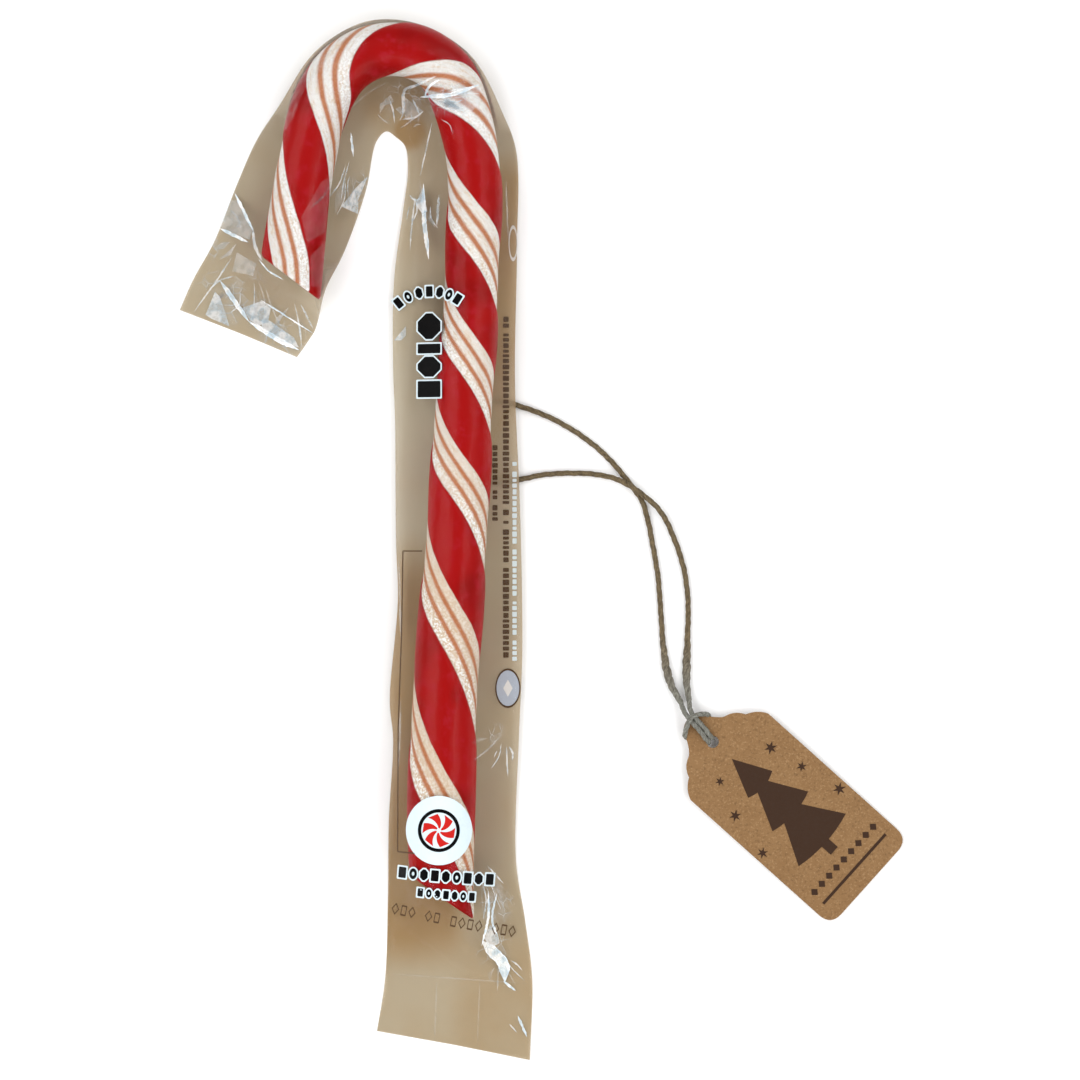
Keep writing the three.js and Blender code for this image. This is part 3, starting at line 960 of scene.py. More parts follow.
    def build(self) -> Piece:
        """Builds the sweet as one closed mesh, with the bands' lines along its edges."""
        distance, bands = self.rings(), self.bands()
        angle = self.twist.angles(distance, self.slant(distance) * self.core(distance), bands)
        rows, columns = angle.shape
        faces = [face[::-1] for face in grid_faces(rows, columns, closed=True)]
        tip, foot = rows * columns, rows * columns + 1
        last = (rows - 1) * columns
        for column in range(columns):
            right = (column + 1) % columns
            faces.append((tip, column, right))
            faces.append((foot, last + right, last + column))
        corners = self.corners(distance, angle, bands)
        uvs = self.strand_map(faces, distance, bands)
        piece = make_piece("sugar_cane", corners, faces, self.finish.material(), uvs)
        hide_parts("candy_cane")
        self.piece = piece
        return piece


# ------ thin fields and folds


Height = Callable[[Array], Array]
Outline = list[tuple[float, float]]


@dataclass
class Patch:
    """A thin field of colour: an outline that is all in sight of its middle."""

    kind: Ink | FoldGlint
    outline: Outline
    lift: float = 0.05
    hole: float = 0.0

    def shell(self, height: Height, gap: float = 0.7, thick: float = 0.02) -> tuple[Array, list]:
        """Builds the field as a thin closed skin that follows a surface.

        Args:
            height: gives the surface's height at points in plan.
            gap: about how far apart its points lie.
            thick: how thick the field is.

        Returns:
            Vertices in millimetres, and faces.
        """
        rim = np.array(self.outline, float)
        ahead = np.roll(rim, -1, axis=0)
        dense = []
        for a, b in zip(rim, ahead):
            steps = max(1, round(float(np.linalg.norm(b - a)) / gap))
            dense += [a + (b - a) * i / steps for i in range(steps)]
        rim = np.array(dense)
        middle = rim.mean(0)
        reach = np.linalg.norm(rim - middle, axis=1).max()
        rings = max(1, round(reach * (1 - self.hole) / gap))
        shares = np.linspace(self.hole, 1.0, rings + 1)
        shares = shares if self.hole else shares[1:]
        plan = np.vstack([middle + (rim - middle) * share for share in shares])
        if not self.hole:
            plan = np.vstack([plan, middle])
        base = height(plan) + self.lift
        count, around = len(plan), len(rim)
        corners = np.vstack([np.column_stack([plan, base + thick]), np.column_stack([plan, base])])
        faces = grid_faces(len(shares), around, closed=True)
        if not self.hole:
            faces += [(count - 1, i, (i + 1) % around) for i in range(around)]
        area = sum(a[0] * b[1] - b[0] * a[1] for a, b in zip(rim, np.roll(rim, -1, axis=0)))
        if area < 0:
            faces = [face[::-1] for face in faces]
        # The rows run outwards, so the quads face down where the outline runs anticlockwise.
        quads = (len(shares) - 1) * around
        faces = [face[::-1] for face in faces[:quads]] + faces[quads:]
        lower = [tuple(count + i for i in face[::-1]) for face in faces]
        sides = []
        rims = [(len(shares) - 1) * around] + ([0] if self.hole else [])
        for which, first in enumerate(rims):
            for i in range(around):
                a, b = first + i, first + (i + 1) % around
                quad = (a, count + a, count + b, b)
                sides.append(quad[::-1] if (area < 0) != (which == 1) else quad)
        return corners, faces + lower + sides


@dataclass(frozen=True)
class GlintCrease:
    """A fold in the film with a painted glint on it: how white the glint is, how wide it is and the line it
    follows.
    """

    kind: FoldGlint
    width: float
    line: Places

    def shell(
        self, height: Height, gap: float = 0.45, thick: float = 0.02, lift: float = 0.03
    ) -> tuple[Array, list]:
        """Builds it as a thin closed sliver on a surface, tapered and a little jagged.

        Args:
            height: gives the surface's height at points in plan.
            gap: about how far apart its points lie.
            thick: how thick it is.
            lift: how far it stands off the surface.

        Returns:
            Vertices in millimetres, and faces.
        """
        course = SmoothLine(self.line, 12)
        count = max(4, round(course.length / gap))
        share = np.linspace(0.0, 1.0, count + 1)
        centre, heading = course.at(share * course.length), course.heading(share * course.length)
        # A narrow fold is the most jagged.
        rough = min(0.45, 0.18 / self.width)
        jag = 1 + rough * np.random.default_rng(round(100 * course.length)).uniform(-1, 1, (2, count + 1))
        half = 0.5 * self.width * np.minimum(1.0, 0.1 + 4 * np.minimum(share, 1 - share))
        across = np.column_stack([-heading[:, 1], heading[:, 0]])
        left, right_ = across * (half * jag[0])[:, None], across * (half * jag[1])[:, None]
        plan = np.vstack([centre + left, centre - right_])
        base = height(plan) + lift
        corners = np.vstack([np.column_stack([plan, base + thick]), np.column_stack([plan, base])])
        right, under = count + 1, 2 * (count + 1)
        faces = []
        for i in range(count):
            top = (i, right + i, right + i + 1, i + 1)
            faces += [top, tuple(under + corner for corner in top[::-1])]
            faces += [(i, i + 1, under + i + 1, under + i)]
            faces += [(right + i, under + right + i, under + right + i + 1, right + i + 1)]
        faces.append((0, under, under + right, right))
        faces.append((count, right + count, under + right + count, under + count))
        return corners, faces


@dataclass(frozen=True)
class GlintFan:
    """Fine painted glints, thin bluish white streaks, that fan out from where the film is bunched.

    It has a place, the direction that they take in degrees, the angle over which they spread, how
    far they reach and how many there are.
    """

    x: float
    y: float
    degrees: float
    spread: float
    reach: float
    count: int
    facet_share: float = 0.3

    def glints(self) -> list[GlintCrease | Patch]:
        """Works out the glints, each a little off its even place.

        Returns:
            The glints, and a facet beside some of them.
        """
        random = np.random.default_rng(round(10 * (self.degrees + self.reach + self.count)))
        kinds = (FoldGlint.TRACE, FoldGlint.TRACE, FoldGlint.FAINT, FoldGlint.FAINT, FoldGlint.HALF, FoldGlint.HALF)
        glints = []
        for share in np.linspace(-0.5, 0.5, self.count):
            turn = math.radians(self.degrees + self.spread * share + random.normal(0, 7))
            start, stop = self.reach * random.uniform(0.1, 0.5), self.reach * random.uniform(0.6, 1.0)
            sag = random.uniform(-0.06, 0.06) * self.reach
            middle = (start + stop) / 2
            line = tuple(self.place(turn, *spot) for spot in ((start, 0.0), (middle, sag), (stop, 0.0)))
            kind = kinds[int(random.integers(len(kinds)))]
            glints.append(GlintCrease(kind, float(random.uniform(0.15, 0.35)), line))
            if random.uniform() < self.facet_share:
                side = random.choice((-1, 1)) * random.uniform(0.6, 1.6)
                spots = ((start, 0.0), (middle, side), (stop, 0.3 * side), (middle, sag))
                outline = [self.place(turn, *spot) for spot in spots]
                glints.append(Patch((FoldGlint.TRACE, FoldGlint.FAINT)[int(random.integers(2))], outline, 0.03))
        return glints

    def place(self, turn: float, along: float, off: float) -> tuple[float, float]:
        """A spot at a distance along one fold's direction and beside it."""
        x = self.x + along * math.cos(turn) - off * math.sin(turn)
        return x, self.y + along * math.sin(turn) + off * math.cos(turn)


def thin_fields(
    name: str, fields: Sequence[Patch | GlintCrease], kinds: type[Enum], height: Height
) -> list[Piece]:
    """Joins thin fields of each kind into one piece.

    Args:
        name: what the pieces' names begin with.
        fields: the fields.
        kinds: the kinds there are, each of which makes its own finish.
        height: gives the height of what they lie on.

    Returns:
        One piece for each kind in use.
    """
    pieces = []
    for kind in kinds:
        corners, faces, count = [], [], 0
        for number, one in enumerate(f for f in fields if f.kind is kind):
            points, shell = one.shell(height)
            # Fields of one kind that overlap lie at slightly different heights.
            points[:, 2] += 0.004 * (number % 6)
            corners.append(points)
            faces += [tuple(count + i for i in face) for face in shell]
            count += len(points)
        if corners:
            # Each field's first half of points is its upper side.
            upper = np.concatenate([np.repeat([1.0, 0.0], len(points) // 2) for points in corners])
            full_name, marks, joined = f"{name}_{kind.value[0]}", {"upper": upper}, np.vstack(corners)
            piece = make_piece(full_name, joined, faces, kind.material(), marks=marks, smooth=False)
            pieces.append(piece)
    return pieces


# ------ the film sleeve


@dataclass
class FilmSleeve:
    """The sleeve: two layers of film, drawn over the cane and flat on the table, sealed at both flaps."""

    cane: SugarCane
    # Across the sleeve at each station: the outer edge, the middle over the cane, the inner edge.
    stations: tuple[Places, ...] = (
        ((-37.0, 48.4), (-24.6, 43.6), (-12.4, 38.5)), ((-33.8, 55.3), (-18.9, 49.5), (-7.6, 47.8)),
        ((-29.6, 63.1), (-13.7, 56.8), (-3.1, 59.3)), ((-26.0, 71.5), (-11.5, 70.5), (1.1, 69.4)),
        ((-21.4, 83.1), (-9.9, 82.0), (3.8, 78.9)), ((-15.3, 92.5), (-6.9, 90.4), (4.0, 82.6)),
        ((-8.0, 103.0), (-1.5, 99.6), (4.6, 84.3)), ((6.7, 108.6), (7.6, 102.8), (6.7, 85.4)),
        ((17.8, 105.2), (14.9, 100.9), (9.0, 84.3)), ((25.8, 99.4), (19.9, 96.3), (10.5, 82.4)),
        ((30.9, 89.8), (22.9, 88.3), (10.9, 78.6)), ((33.8, 78.9), (24.6, 76.8), (10.7, 73.6)),
        ((33.8, 63.1), (24.6, 63.1), (9.0, 63.1)), ((33.6, 46.3), (23.9, 46.3), (7.6, 46.3)),
        ((33.4, 29.5), (22.7, 29.5), (8.2, 29.5)), ((34.6, 4.3), (21.2, 4.3), (8.4, 4.3)),
        ((34.9, -14.6), (19.9, -14.6), (8.8, -14.0)), ((34.6, -31.4), (18.7, -31.4), (7.1, -31.4)),
        ((34.0, -52.4), (18.0, -52.4), (7.6, -52.4)), ((34.0, -71.3), (18.1, -71.3), (6.7, -71.3)),
        ((36.8, -87.0), (20.6, -88.1), (6.3, -87.0)), ((36.5, -109.1), (20.6, -105.9), (4.4, -103.0)),
    )
    outer_edge: Places = (
        (-37.0, 48.4), (-34.2, 54.7), (-29.6, 63.1), (-24.6, 75.7), (-20.8, 84.1), (-15.3, 92.5),
        (-9.9, 100.9), (-5.3, 105.1), (1.9, 108.7), (9.2, 109.1), (16.0, 107.2), (22.7, 103.0),
        (26.3, 98.8), (30.5, 90.4), (33.6, 82.0), (33.8, 61.0), (33.4, 33.7), (34.4, 8.5),
        (34.9, -12.5), (34.9, -25.1), (34.2, -41.9), (33.6, -67.1), (35.5, -79.7), (37.0, -92.3),
        (36.5, -109.1),
    )
    inner_edge: Places = (
        (-12.4, 38.5), (-9.9, 42.1), (-8.6, 44.2), (-6.3, 52.6), (-2.3, 61.0), (2.1, 73.6),
        (4.3, 83.8), (6.4, 85.9), (8.4, 84.7), (10.3, 82.8), (10.9, 77.8), (9.9, 69.4), (8.0, 54.7),
        (7.8, 35.8), (8.2, 25.3), (8.4, 0.1), (8.8, -12.5), (7.1, -33.5), (7.8, -41.9), (6.9, -58.7),
        (6.7, -75.5), (6.1, -92.3), (4.4, -103.0),
    )
    # How far the film stands off the sweet, at the least and where it would cut into it.
    clearance: float = 0.16
    above_cane: float = 0.08
    leaves_degrees: float = 56.0
    flare: float = 0.7
    lies_at: float = 0.06
    edge_at: float = 0.12
    across: int = 72
    along: int = 640
    # How far past each end of the cane the film takes to come down to the table.
    tip_fall: float = 8.0
    foot_fall: float = 13.0
    end_zone: float = 12.0
    # How high a ridge each kind of fold makes, and half how wide that is.
    ridges: tuple[tuple[FoldGlint, float], ...] = (
        (FoldGlint.TRACE, 0.03), (FoldGlint.FAINT, 0.10), (FoldGlint.HALF, 0.22), (FoldGlint.BRIGHT, 0.32),
    )
    ridge_reach: float = 1.0
    # Where the film is bunched and crumpled: (x, y, how far it reaches).
    crumples: Spots = (
        (-25.5, 52.5, 9.0), (-27.5, 64.0, 6.0), (-15.0, 43.0, 6.0), (10.0, 91.5, 6.0), (18.0, 94.0, 7.0),
        (1.5, 73.5, 6.0), (29.5, -76.5, 5.0), (28.5, -86.0, 5.0), (30.5, -41.0, 4.0),
    )
    # The main folds, each a ridge in the film with a painted glint on it; the fine glints come from the fans.
    creases: tuple[GlintCrease, ...] = (
        # The crumpled flap past the tip.
        GlintCrease(FoldGlint.BRIGHT, 0.6, ((-25.5, 73.0), (-21.5, 65.0))),
        GlintCrease(FoldGlint.BRIGHT, 0.6, ((-28.5, 65.5), (-22.5, 62.5))),
        GlintCrease(FoldGlint.HALF, 0.6, ((-21.6, 66.0), (-21.0, 61.5), (-19.5, 58.5))),
        GlintCrease(FoldGlint.BRIGHT, 0.3, ((-20.3, 58.9), (-18.1, 56.4), (-15.0, 54.5))),
        GlintCrease(FoldGlint.BRIGHT, 0.9, ((-28.5, 54.5), (-22.5, 46.0))),
        GlintCrease(FoldGlint.BRIGHT, 1.0, ((-22.5, 46.0), (-16.0, 42.0), (-12.0, 40.0))),
        GlintCrease(FoldGlint.BRIGHT, 0.3, ((-20.0, 50.5), (-9.0, 43.5))),
        GlintCrease(FoldGlint.HALF, 0.3, ((-26.0, 59.5), (-29.0, 55.0), (-34.0, 48.0))),
        GlintCrease(FoldGlint.HALF, 0.35, ((-11.5, 49.5), (-9.0, 44.5))),
        # Over the crook's left shoulder, where the film leaves the sweet.
        GlintCrease(FoldGlint.TRACE, 2.2, ((-5.0, 102.6), (-11.4, 95.2), (-15.0, 85.5))),
        # Inside the crook.
        GlintCrease(FoldGlint.HALF, 0.6, ((16.9, 97.1), (12.7, 95.3), (10.3, 94.4), (9.9, 89.7), (9.2, 88.2))),
        GlintCrease(FoldGlint.HALF, 0.35, ((11.9, 92.5), (13.4, 89.4))),
        GlintCrease(FoldGlint.HALF, 0.3, ((9.6, 88.4), (12.8, 88.9), (14.2, 90.0))),
        GlintCrease(FoldGlint.TRACE, 0.3, ((-1.3, 90.3), (2.9, 94.0), (7.1, 96.2))),
        GlintCrease(FoldGlint.BRIGHT, 0.4, ((-1.0, 85.5), (-0.5, 80.5))),
        GlintCrease(FoldGlint.HALF, 0.3, ((16.0, 87.5), (13.5, 76.5))),
        GlintCrease(FoldGlint.HALF, 0.5, ((17.5, 72.5), (17.0, 66.0))),
        GlintCrease(FoldGlint.BRIGHT, 0.9, ((14.2, 74.8), (14.2, 69.0), (15.3, 59.0))),
        GlintCrease(FoldGlint.HALF, 0.4, ((11.2, 72.6), (12.6, 71.4), (13.8, 72.2))),
        # Over the crook's right shoulder.
        GlintCrease(FoldGlint.BRIGHT, 0.5, ((17.6, 96.3), (15.5, 95.1), (14.5, 92.9))),
        GlintCrease(FoldGlint.BRIGHT, 0.8, ((13.6, 92.9), (19.7, 93.2), (26.0, 95.4))),
        # Along the wings.
        GlintCrease(FoldGlint.FAINT, 0.3, ((31.5, 75.5), (32.0, 63.0))),
        GlintCrease(FoldGlint.FAINT, 0.4, ((9.0, -4.0), (9.5, -21.0))),
        GlintCrease(FoldGlint.FAINT, 0.35, ((9.5, -33.5), (9.0, -48.0))),
        # Past the foot: a bright painted glint that widens to a ribbon, and faint ones down the flap.
        GlintCrease(FoldGlint.HALF, 0.3, ((27.5, -68.0), (31.0, -72.0))),
        GlintCrease(FoldGlint.BRIGHT, 0.5, ((27.8, -73.5), (27.8, -79.0), (26.4, -85.0))),
        GlintCrease(FoldGlint.BRIGHT, 0.4, ((29.6, -74.0), (28.6, -79.5), (30.0, -83.5))),
        GlintCrease(FoldGlint.BRIGHT, 2.3, ((26.6, -84.0), (28.6, -86.2), (30.9, -88.8), (31.3, -92.5))),
        GlintCrease(FoldGlint.BRIGHT, 0.5, ((31.0, -92.5), (33.5, -94.5))),
        GlintCrease(FoldGlint.BRIGHT, 0.5, ((34.0, -99.8), (35.9, -104.2))),
        GlintCrease(FoldGlint.HALF, 0.3, ((32.2, -101.5), (33.8, -103.3))),
        GlintCrease(FoldGlint.TRACE, 0.3, ((17.0, -92.0), (16.5, -105.5))),
        GlintCrease(FoldGlint.TRACE, 0.3, ((26.0, -92.5), (25.5, -106.0))),
        GlintCrease(FoldGlint.TRACE, 0.3, ((7.0, -91.0), (36.0, -93.0))),
    )
    glint_fans: tuple[GlintFan, ...] = (
        GlintFan(-21.0, 58.0, 222.0, 120.0, 18.0, 14), GlintFan(-23.0, 64.0, 165.0, 90.0, 10.0, 10),
        GlintFan(-13.0, 51.0, 285.0, 70.0, 11.0, 5), GlintFan(8.5, 86.0, 80.0, 120.0, 8.0, 5),
        GlintFan(14.0, 93.0, 350.0, 60.0, 13.0, 7), GlintFan(-1.0, 81.0, 260.0, 50.0, 15.0, 7),
        GlintFan(13.0, 78.0, 262.0, 40.0, 18.0, 9), GlintFan(26.5, -67.0, 285.0, 45.0, 15.0, 10),
        GlintFan(30.0, -86.0, 290.0, 80.0, 9.0, 5), GlintFan(31.5, -40.0, 270.0, 120.0, 10.0, 9),
    )
    # The largest painted glints: facets of bluish white between the folds.
    facets: tuple[tuple[FoldGlint, Places], ...] = (
        (FoldGlint.FAINT, ((-27.4, 71.2), (-28.6, 65.8), (-22.2, 63.0), (-21.7, 65.2), (-25.0, 71.5))),
        (
            FoldGlint.HALF,
            ((-29.6, 52.2), (-31.6, 47.4), (-30.4, 46.6), (-26.6, 45.0), (-27.4, 47.8), (-28.6, 51.2)),
        ),
        (
            FoldGlint.HALF,
            ((-24.0, 48.8), (-19.8, 50.3), (-17.8, 49.2), (-18.4, 46.2), (-20.5, 45.0), (-22.3, 46.3)),
        ),
        (
            FoldGlint.HALF,
            ((-20.0, 46.3), (-18.2, 46.2), (-13.0, 42.6), (-12.0, 40.5), (-15.8, 41.8), (-19.7, 44.6)),
        ),
        (FoldGlint.FAINT, ((-25.0, 60.5), (-20.8, 58.0), (-21.5, 55.5), (-26.0, 56.5))),
        (FoldGlint.VEIL, ((-11.3, 67.6), (-7.1, 75.0), (-5.2, 76.2), (-5.9, 68.7), (-6.3, 64.5), (-10.0, 62.3))),
        (FoldGlint.VEIL, ((-9.4, 59.4), (-6.6, 62.4), (-6.3, 60.3), (-7.2, 53.0), (-9.2, 53.2))),
        (FoldGlint.FAINT, ((10.4, 92.9), (14.1, 90.1), (13.1, 89.0), (10.3, 88.4), (10.0, 91.5))),
        (FoldGlint.FAINT, ((5.0, 91.5), (7.3, 93.5), (8.0, 92.1), (6.2, 91.4), (5.0, 89.6))),
        (FoldGlint.FAINT, ((16.9, 93.5), (26.0, 95.0), (26.0, 91.5), (23.2, 88.3), (19.7, 91.0))),
        (FoldGlint.HALF, ((2.5, 76.5), (0.5, 71.5), (0.5, 68.5), (-3.0, 70.0), (0.0, 74.0))),
        (FoldGlint.HALF, ((14.0, 74.0), (15.0, 69.0), (14.0, 68.5), (12.5, 70.5))),
        (FoldGlint.HALF, ((8.0, 42.0), (10.5, 45.0), (10.5, 43.0), (9.5, 42.0))),
        (FoldGlint.HALF, ((28.2, -80.5), (29.6, -82.0), (30.2, -84.5), (28.2, -85.4), (27.0, -83.4))),
    )
    front: FilmFinish = FilmFinish("film_front", (0.975, 0.965, 0.945), (0.965, 0.945, 0.91))
    back: FilmFinish = FilmFinish(
        "film_back", (0.675, 0.635, 0.555), (0.61, 0.51, 0.375), milk=0.6, body=1.15
    )

    def __post_init__(self) -> None:
        """Lays out the sleeve's plan: rows from flap to flap, columns from the inner to the outer edge."""
        shares = np.linspace(0.0, 1.0, self.along + 1)
        middle = SmoothLine([station[1] for station in self.stations])
        sides = []
        for edge, which in ((self.inner_edge, 2), (self.outer_edge, 0)):
            fine = SmoothLine(edge)
            given = np.array([station[which] for station in self.stations], float)
            _, nearest = nearest_on(fine.samples, given)
            marks = np.maximum.accumulate(fine.reached[nearest])
            marks[0], marks[-1] = 0.0, fine.length
            sides.append(fine.at(np.interp(shares * (len(marks) - 1), np.arange(len(marks)), marks)))
        centre = middle.at(middle.knot_shares(shares))
        part = np.linspace(-1.0, 1.0, self.across + 1)
        inner, outer = sides
        width = np.abs(part)[None, :, None]
        edge = np.where((part < 0)[None, :, None], inner[:, None, :], outer[:, None, :])
        self.plan = centre[:, None, :] * (1 - width) + edge * width
        self.part = part

    def measure(self, points: Array) -> tuple[Array, ...]:
        """How points in plan lie to the cane.

        Args:
            points: the points, one a row.

        Returns:
            How far they are from the cane and, past its ends, how far to the side of it; the radius
            of the film round it there, the height of its middle over the hump, the hump's own
            height, and how much of the cane's height the film still has past an end.
        """
        cane = self.cane
        away, which = nearest_on(cane.trail, points)
        distance = cane.trail_distance[which]
        radius = cane.core(distance) + cane.lobe
        beside, fade = away.copy(), np.ones(len(points))
        ends = (
            (0.0, -1, cane.tip_slant, self.tip_fall),
            (cane.line.length, 1, cane.foot_slant, self.foot_fall),
        )
        for end, sign, slant, fall in ends:
            heading = cane.line.heading(end)
            from_end = points - cane.line.at(end)
            lateral = from_end @ np.array([-heading[1], heading[0]])
            ahead = sign * (from_end @ heading) - sign * slant * np.clip(lateral, -radius, radius)
            here = np.abs(distance - end) < self.end_zone
            beside[here] = np.abs(lateral[here])
            fade[here] = 1 - smoothstep(0.0, fall, ahead[here])
        return away, beside, radius + self.clearance, radius + cane.film_under, cane.hump(*points.T), fade

    def heights(self) -> tuple[Array, Array, Array]:
        """Works out how high the film lies at each place of the plan.

        Returns:
            Heights of the front layer, of the back layer and of the edges.
        """
        shape = self.plan.shape[:2]
        measured = self.measure(self.plan.reshape(-1, 2))
        away, beside, round_, centre, hump, fade = (values.reshape(shape) for values in measured)
        outer = (self.part > 0)[None, :]
        edge_off = np.where(outer, beside[:, -1:], beside[:, :1])
        edge_round = np.where(outer, round_[:, -1:], round_[:, :1])
        edge_away = np.where(outer, away[:, -1:], away[:, :1])
        tight = 1 - smoothstep(1.0, 1.45, edge_away / edge_round)
        edge_at = self.edge_at + tight * (centre - self.edge_at)
        reach = np.hypot(edge_off, centre - edge_at)
        rise = np.arcsin(np.clip(round_ / np.maximum(reach, 1e-6), 0, 0.999))
        taut = np.arctan2(centre - edge_at, edge_off) + rise
        leave = np.clip(np.maximum(taut, math.radians(self.leaves_degrees)), 0.1, math.radians(86))
        leaves_at = round_ * np.sin(leave)
        crown = centre + np.sqrt(np.maximum(round_**2 - beside**2, 0.0))
        flank = centre + round_ * np.cos(leave) - (beside - leaves_at) * np.tan(leave)
        run = edge_at + self.flare * softplus((flank - edge_at) / self.flare)
        front = np.where(beside < leaves_at, crown, np.minimum(run, crown.max()))
        front = edge_at + (front - edge_at) * fade
        hug = np.maximum(centre - np.sqrt(np.maximum(round_**2 - beside**2, 0.0)), self.lies_at)
        back = self.lies_at + tight * fade * (hug - self.lies_at)
        return front + hump, back + hump, edge_at + hump

    def crumpled(self, points: Array) -> Array:
        """How crumpled the film is.

        Args:
            points: points in plan, one a row.

        Returns:
            A share from 0 to 1 for each point.
        """
        share = np.zeros(len(points))
        for x, y, reach in self.crumples:
            away = np.hypot(points[:, 0] - x, points[:, 1] - y)
            share = np.maximum(share, smoothstep(reach, 0.45 * reach, away + 0.8 * ripple(points, 5.0, 77)))
        return share

    def painted_shade_at(self, points: Array) -> Array:
        """Painted shade in the film's tan cast: the long wings beside the cane and a spot inside the crook
        are darker than the flaps.

        Args:
            points: points in plan, one a row.

        Returns:
            A number for each point, from 0, for the palest film.
        """
        x, y = points.T
        right = smoothstep(18.0, 25.0, x)
        right_wing = smoothstep(84.0, 72.0, y) * (1 - 0.75 * smoothstep(52.0, 8.0, y))
        left_wing = smoothstep(4.0, -14.0, y) * smoothstep(-92.0, -80.0, y)
        wings = np.where(x > 6.0, right * right_wing + (1 - right) * left_wing, 0.0)
        crook_top = 0.35 * smoothstep(9.0, 4.0, np.hypot(x - 8.0, y - 92.0))
        crook_top = crook_top + 0.8 * smoothstep(4.5, 2.0, np.hypot(x - 11.5, y - 85.5))
        flaps = 0.15 * smoothstep(20.0, 50.0, y) + 0.24 * smoothstep(-76.0, -90.0, y)
        return np.clip(wings + crook_top + flaps, 0.0, 1.1)

    def wrinkle(self, points: Array) -> Array:
        """Height that folds, crumples and slack add to the front layer.

        Args:
            points: points in plan, one a row.

        Returns:
            Millimetres for each point.
        """
        height = 0.16 * (1 + ripple(points, 17.0, 5)) + 0.07 * (1 + ripple(points, 6.0, 8))
        height += 0.10 * self.crumpled(points) * np.abs(ripple(points, 3.4, 13))
        ridges = dict(self.ridges)
        for crease in self.creases:
            off, along = off_polyline(crease.line, points)
            taper = np.clip(np.minimum(along, 1 - along) * 6 + 0.35, 0, 1)
            height += ridges[crease.kind] * taper * np.clip(1 - off / self.ridge_reach, 0, 1) ** 1.3
        return height

    def layers(self) -> tuple[Array, Array, Array]:
        """Adds wrinkles and slack to the film's plain heights.

        Returns:
            Heights of the front and the back layer, and which places are on the rim.
        """
        front, back, edge = self.heights()
        rows = len(front)
        points = self.plan.reshape(-1, 2)
        height = self.wrinkle(points).reshape(front.shape)
        from_side = 1 - np.abs(self.part)[None, :] * np.ones((rows, 1))
        from_end = np.minimum(np.arange(rows), np.arange(rows)[::-1])[:, None] / rows
        slack = smoothstep(0.0, 0.16, from_side) * smoothstep(0.0, 0.02, from_end)
        front = np.maximum(self.over_cane(points, front.ravel()).reshape(front.shape), front)
        front = front + height * slack
        flutter = 0.25 * (1 + ripple(points, 13.0, 21)).reshape(front.shape) * smoothstep(0.5, 0.0, from_side)
        lift = flutter * (1 - np.clip((back - self.lies_at) / 2.0, 0, 1)) * 0.5
        back = back + lift
        front = np.maximum(front, back + 0.05) + lift
        rim = np.zeros(front.shape, bool)
        rim[0], rim[-1], rim[:, 0], rim[:, -1] = True, True, True, True
        front[rim] = back[rim] = np.maximum(edge[rim] + lift[rim], back[rim])
        return front, back, rim

    def build(self) -> list[Piece]:
        """Builds both layers as one closed envelope, and the painted glints on its front.

        Returns:
            The envelope and the glints.
        """
        front, back, rim = self.layers()
        rows, columns = front.shape
        number = np.arange(front.size).reshape(front.shape)
        under = number.copy()
        under[~rim] = front.size + np.arange((~rim).sum())
        corners = np.vstack([
            np.column_stack([self.plan.reshape(-1, 2), front.ravel()]),
            np.column_stack([self.plan[~rim], back[~rim]]),
        ])
        top, bottom = [], []
        for row in range(rows - 1):
            for column in range(columns - 1):
                spots = ((row, column), (row + 1, column), (row + 1, column + 1), (row, column + 1))
                top.append(tuple(number[s] for s in spots))
                bottom.append(tuple(under[s] for s in spots[::-1]))
        # The marks: painted shade in the film's tan cast, and how crumpled the film is.
        marks = {"painted_shade": self.painted_shade_at(corners[:, :2]), "crumpled": self.crumpled(corners[:, :2])}
        marks["crumpled"][front.size:] *= 0.3
        film, sharp = self.front.material(), np.flatnonzero(rim)
        envelope = make_piece("film_envelope", corners, top + bottom, film, marks=marks, rim=sharp)
        envelope.data.materials.append(self.back.material())
        slots = [0] * len(top) + [1] * len(bottom)
        envelope.data.polygons.foreach_set("material_index", slots)
        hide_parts("film_sleeve")
        self.front_tree = self.layer_tree(corners, top)
        self.back_tree = self.layer_tree(corners, bottom)
        # Painted glints: slivers and facets of bluish white on the front layer.
        facets = [Patch(kind, list(outline), 0.03) for kind, outline in self.facets]
        fine = [glint_field for glint_fan in self.glint_fans for glint_field in glint_fan.glints() if self.holds(glint_field)]
        glints = thin_fields("film", [*self.creases, *fine, *facets], FoldGlint, self.front_height)
        return [envelope, *glints]

    def holds(self, glint_field: GlintCrease | Patch) -> bool:
        """Whether all of a glint lies on the sleeve."""
        spots = glint_field.line if isinstance(glint_field, GlintCrease) else glint_field.outline
        return all(cast_down(self.front_tree, x, y) for x, y in spots)

    def over_cane(self, points: Array, heights: Array) -> Array:
        """Raises heights that would cut into the sweet to just above it.

        Args:
            points: points in plan, one a row.
            heights: the height at each of them.

        Returns:
            The heights, raised where the sweet is higher.
        """
        mesh = self.cane.piece.data
        tree = BVHTree.FromPolygons([v.co for v in mesh.vertices], [p.vertices for p in mesh.polygons])
        raised = heights.copy()
        for i, (x, y) in enumerate(points):
            hit = cast_down(tree, x, y)
            if hit is not None:
                raised[i] = max(raised[i], hit.z / MM + self.above_cane)
        return raised

    @staticmethod
    def layer_tree(corners: Array, faces: Sequence[Sequence[int]]) -> BVHTree:
        """A search tree of one layer, for the print that lies on it."""
        return BVHTree.FromPolygons((corners * MM).tolist(), faces)

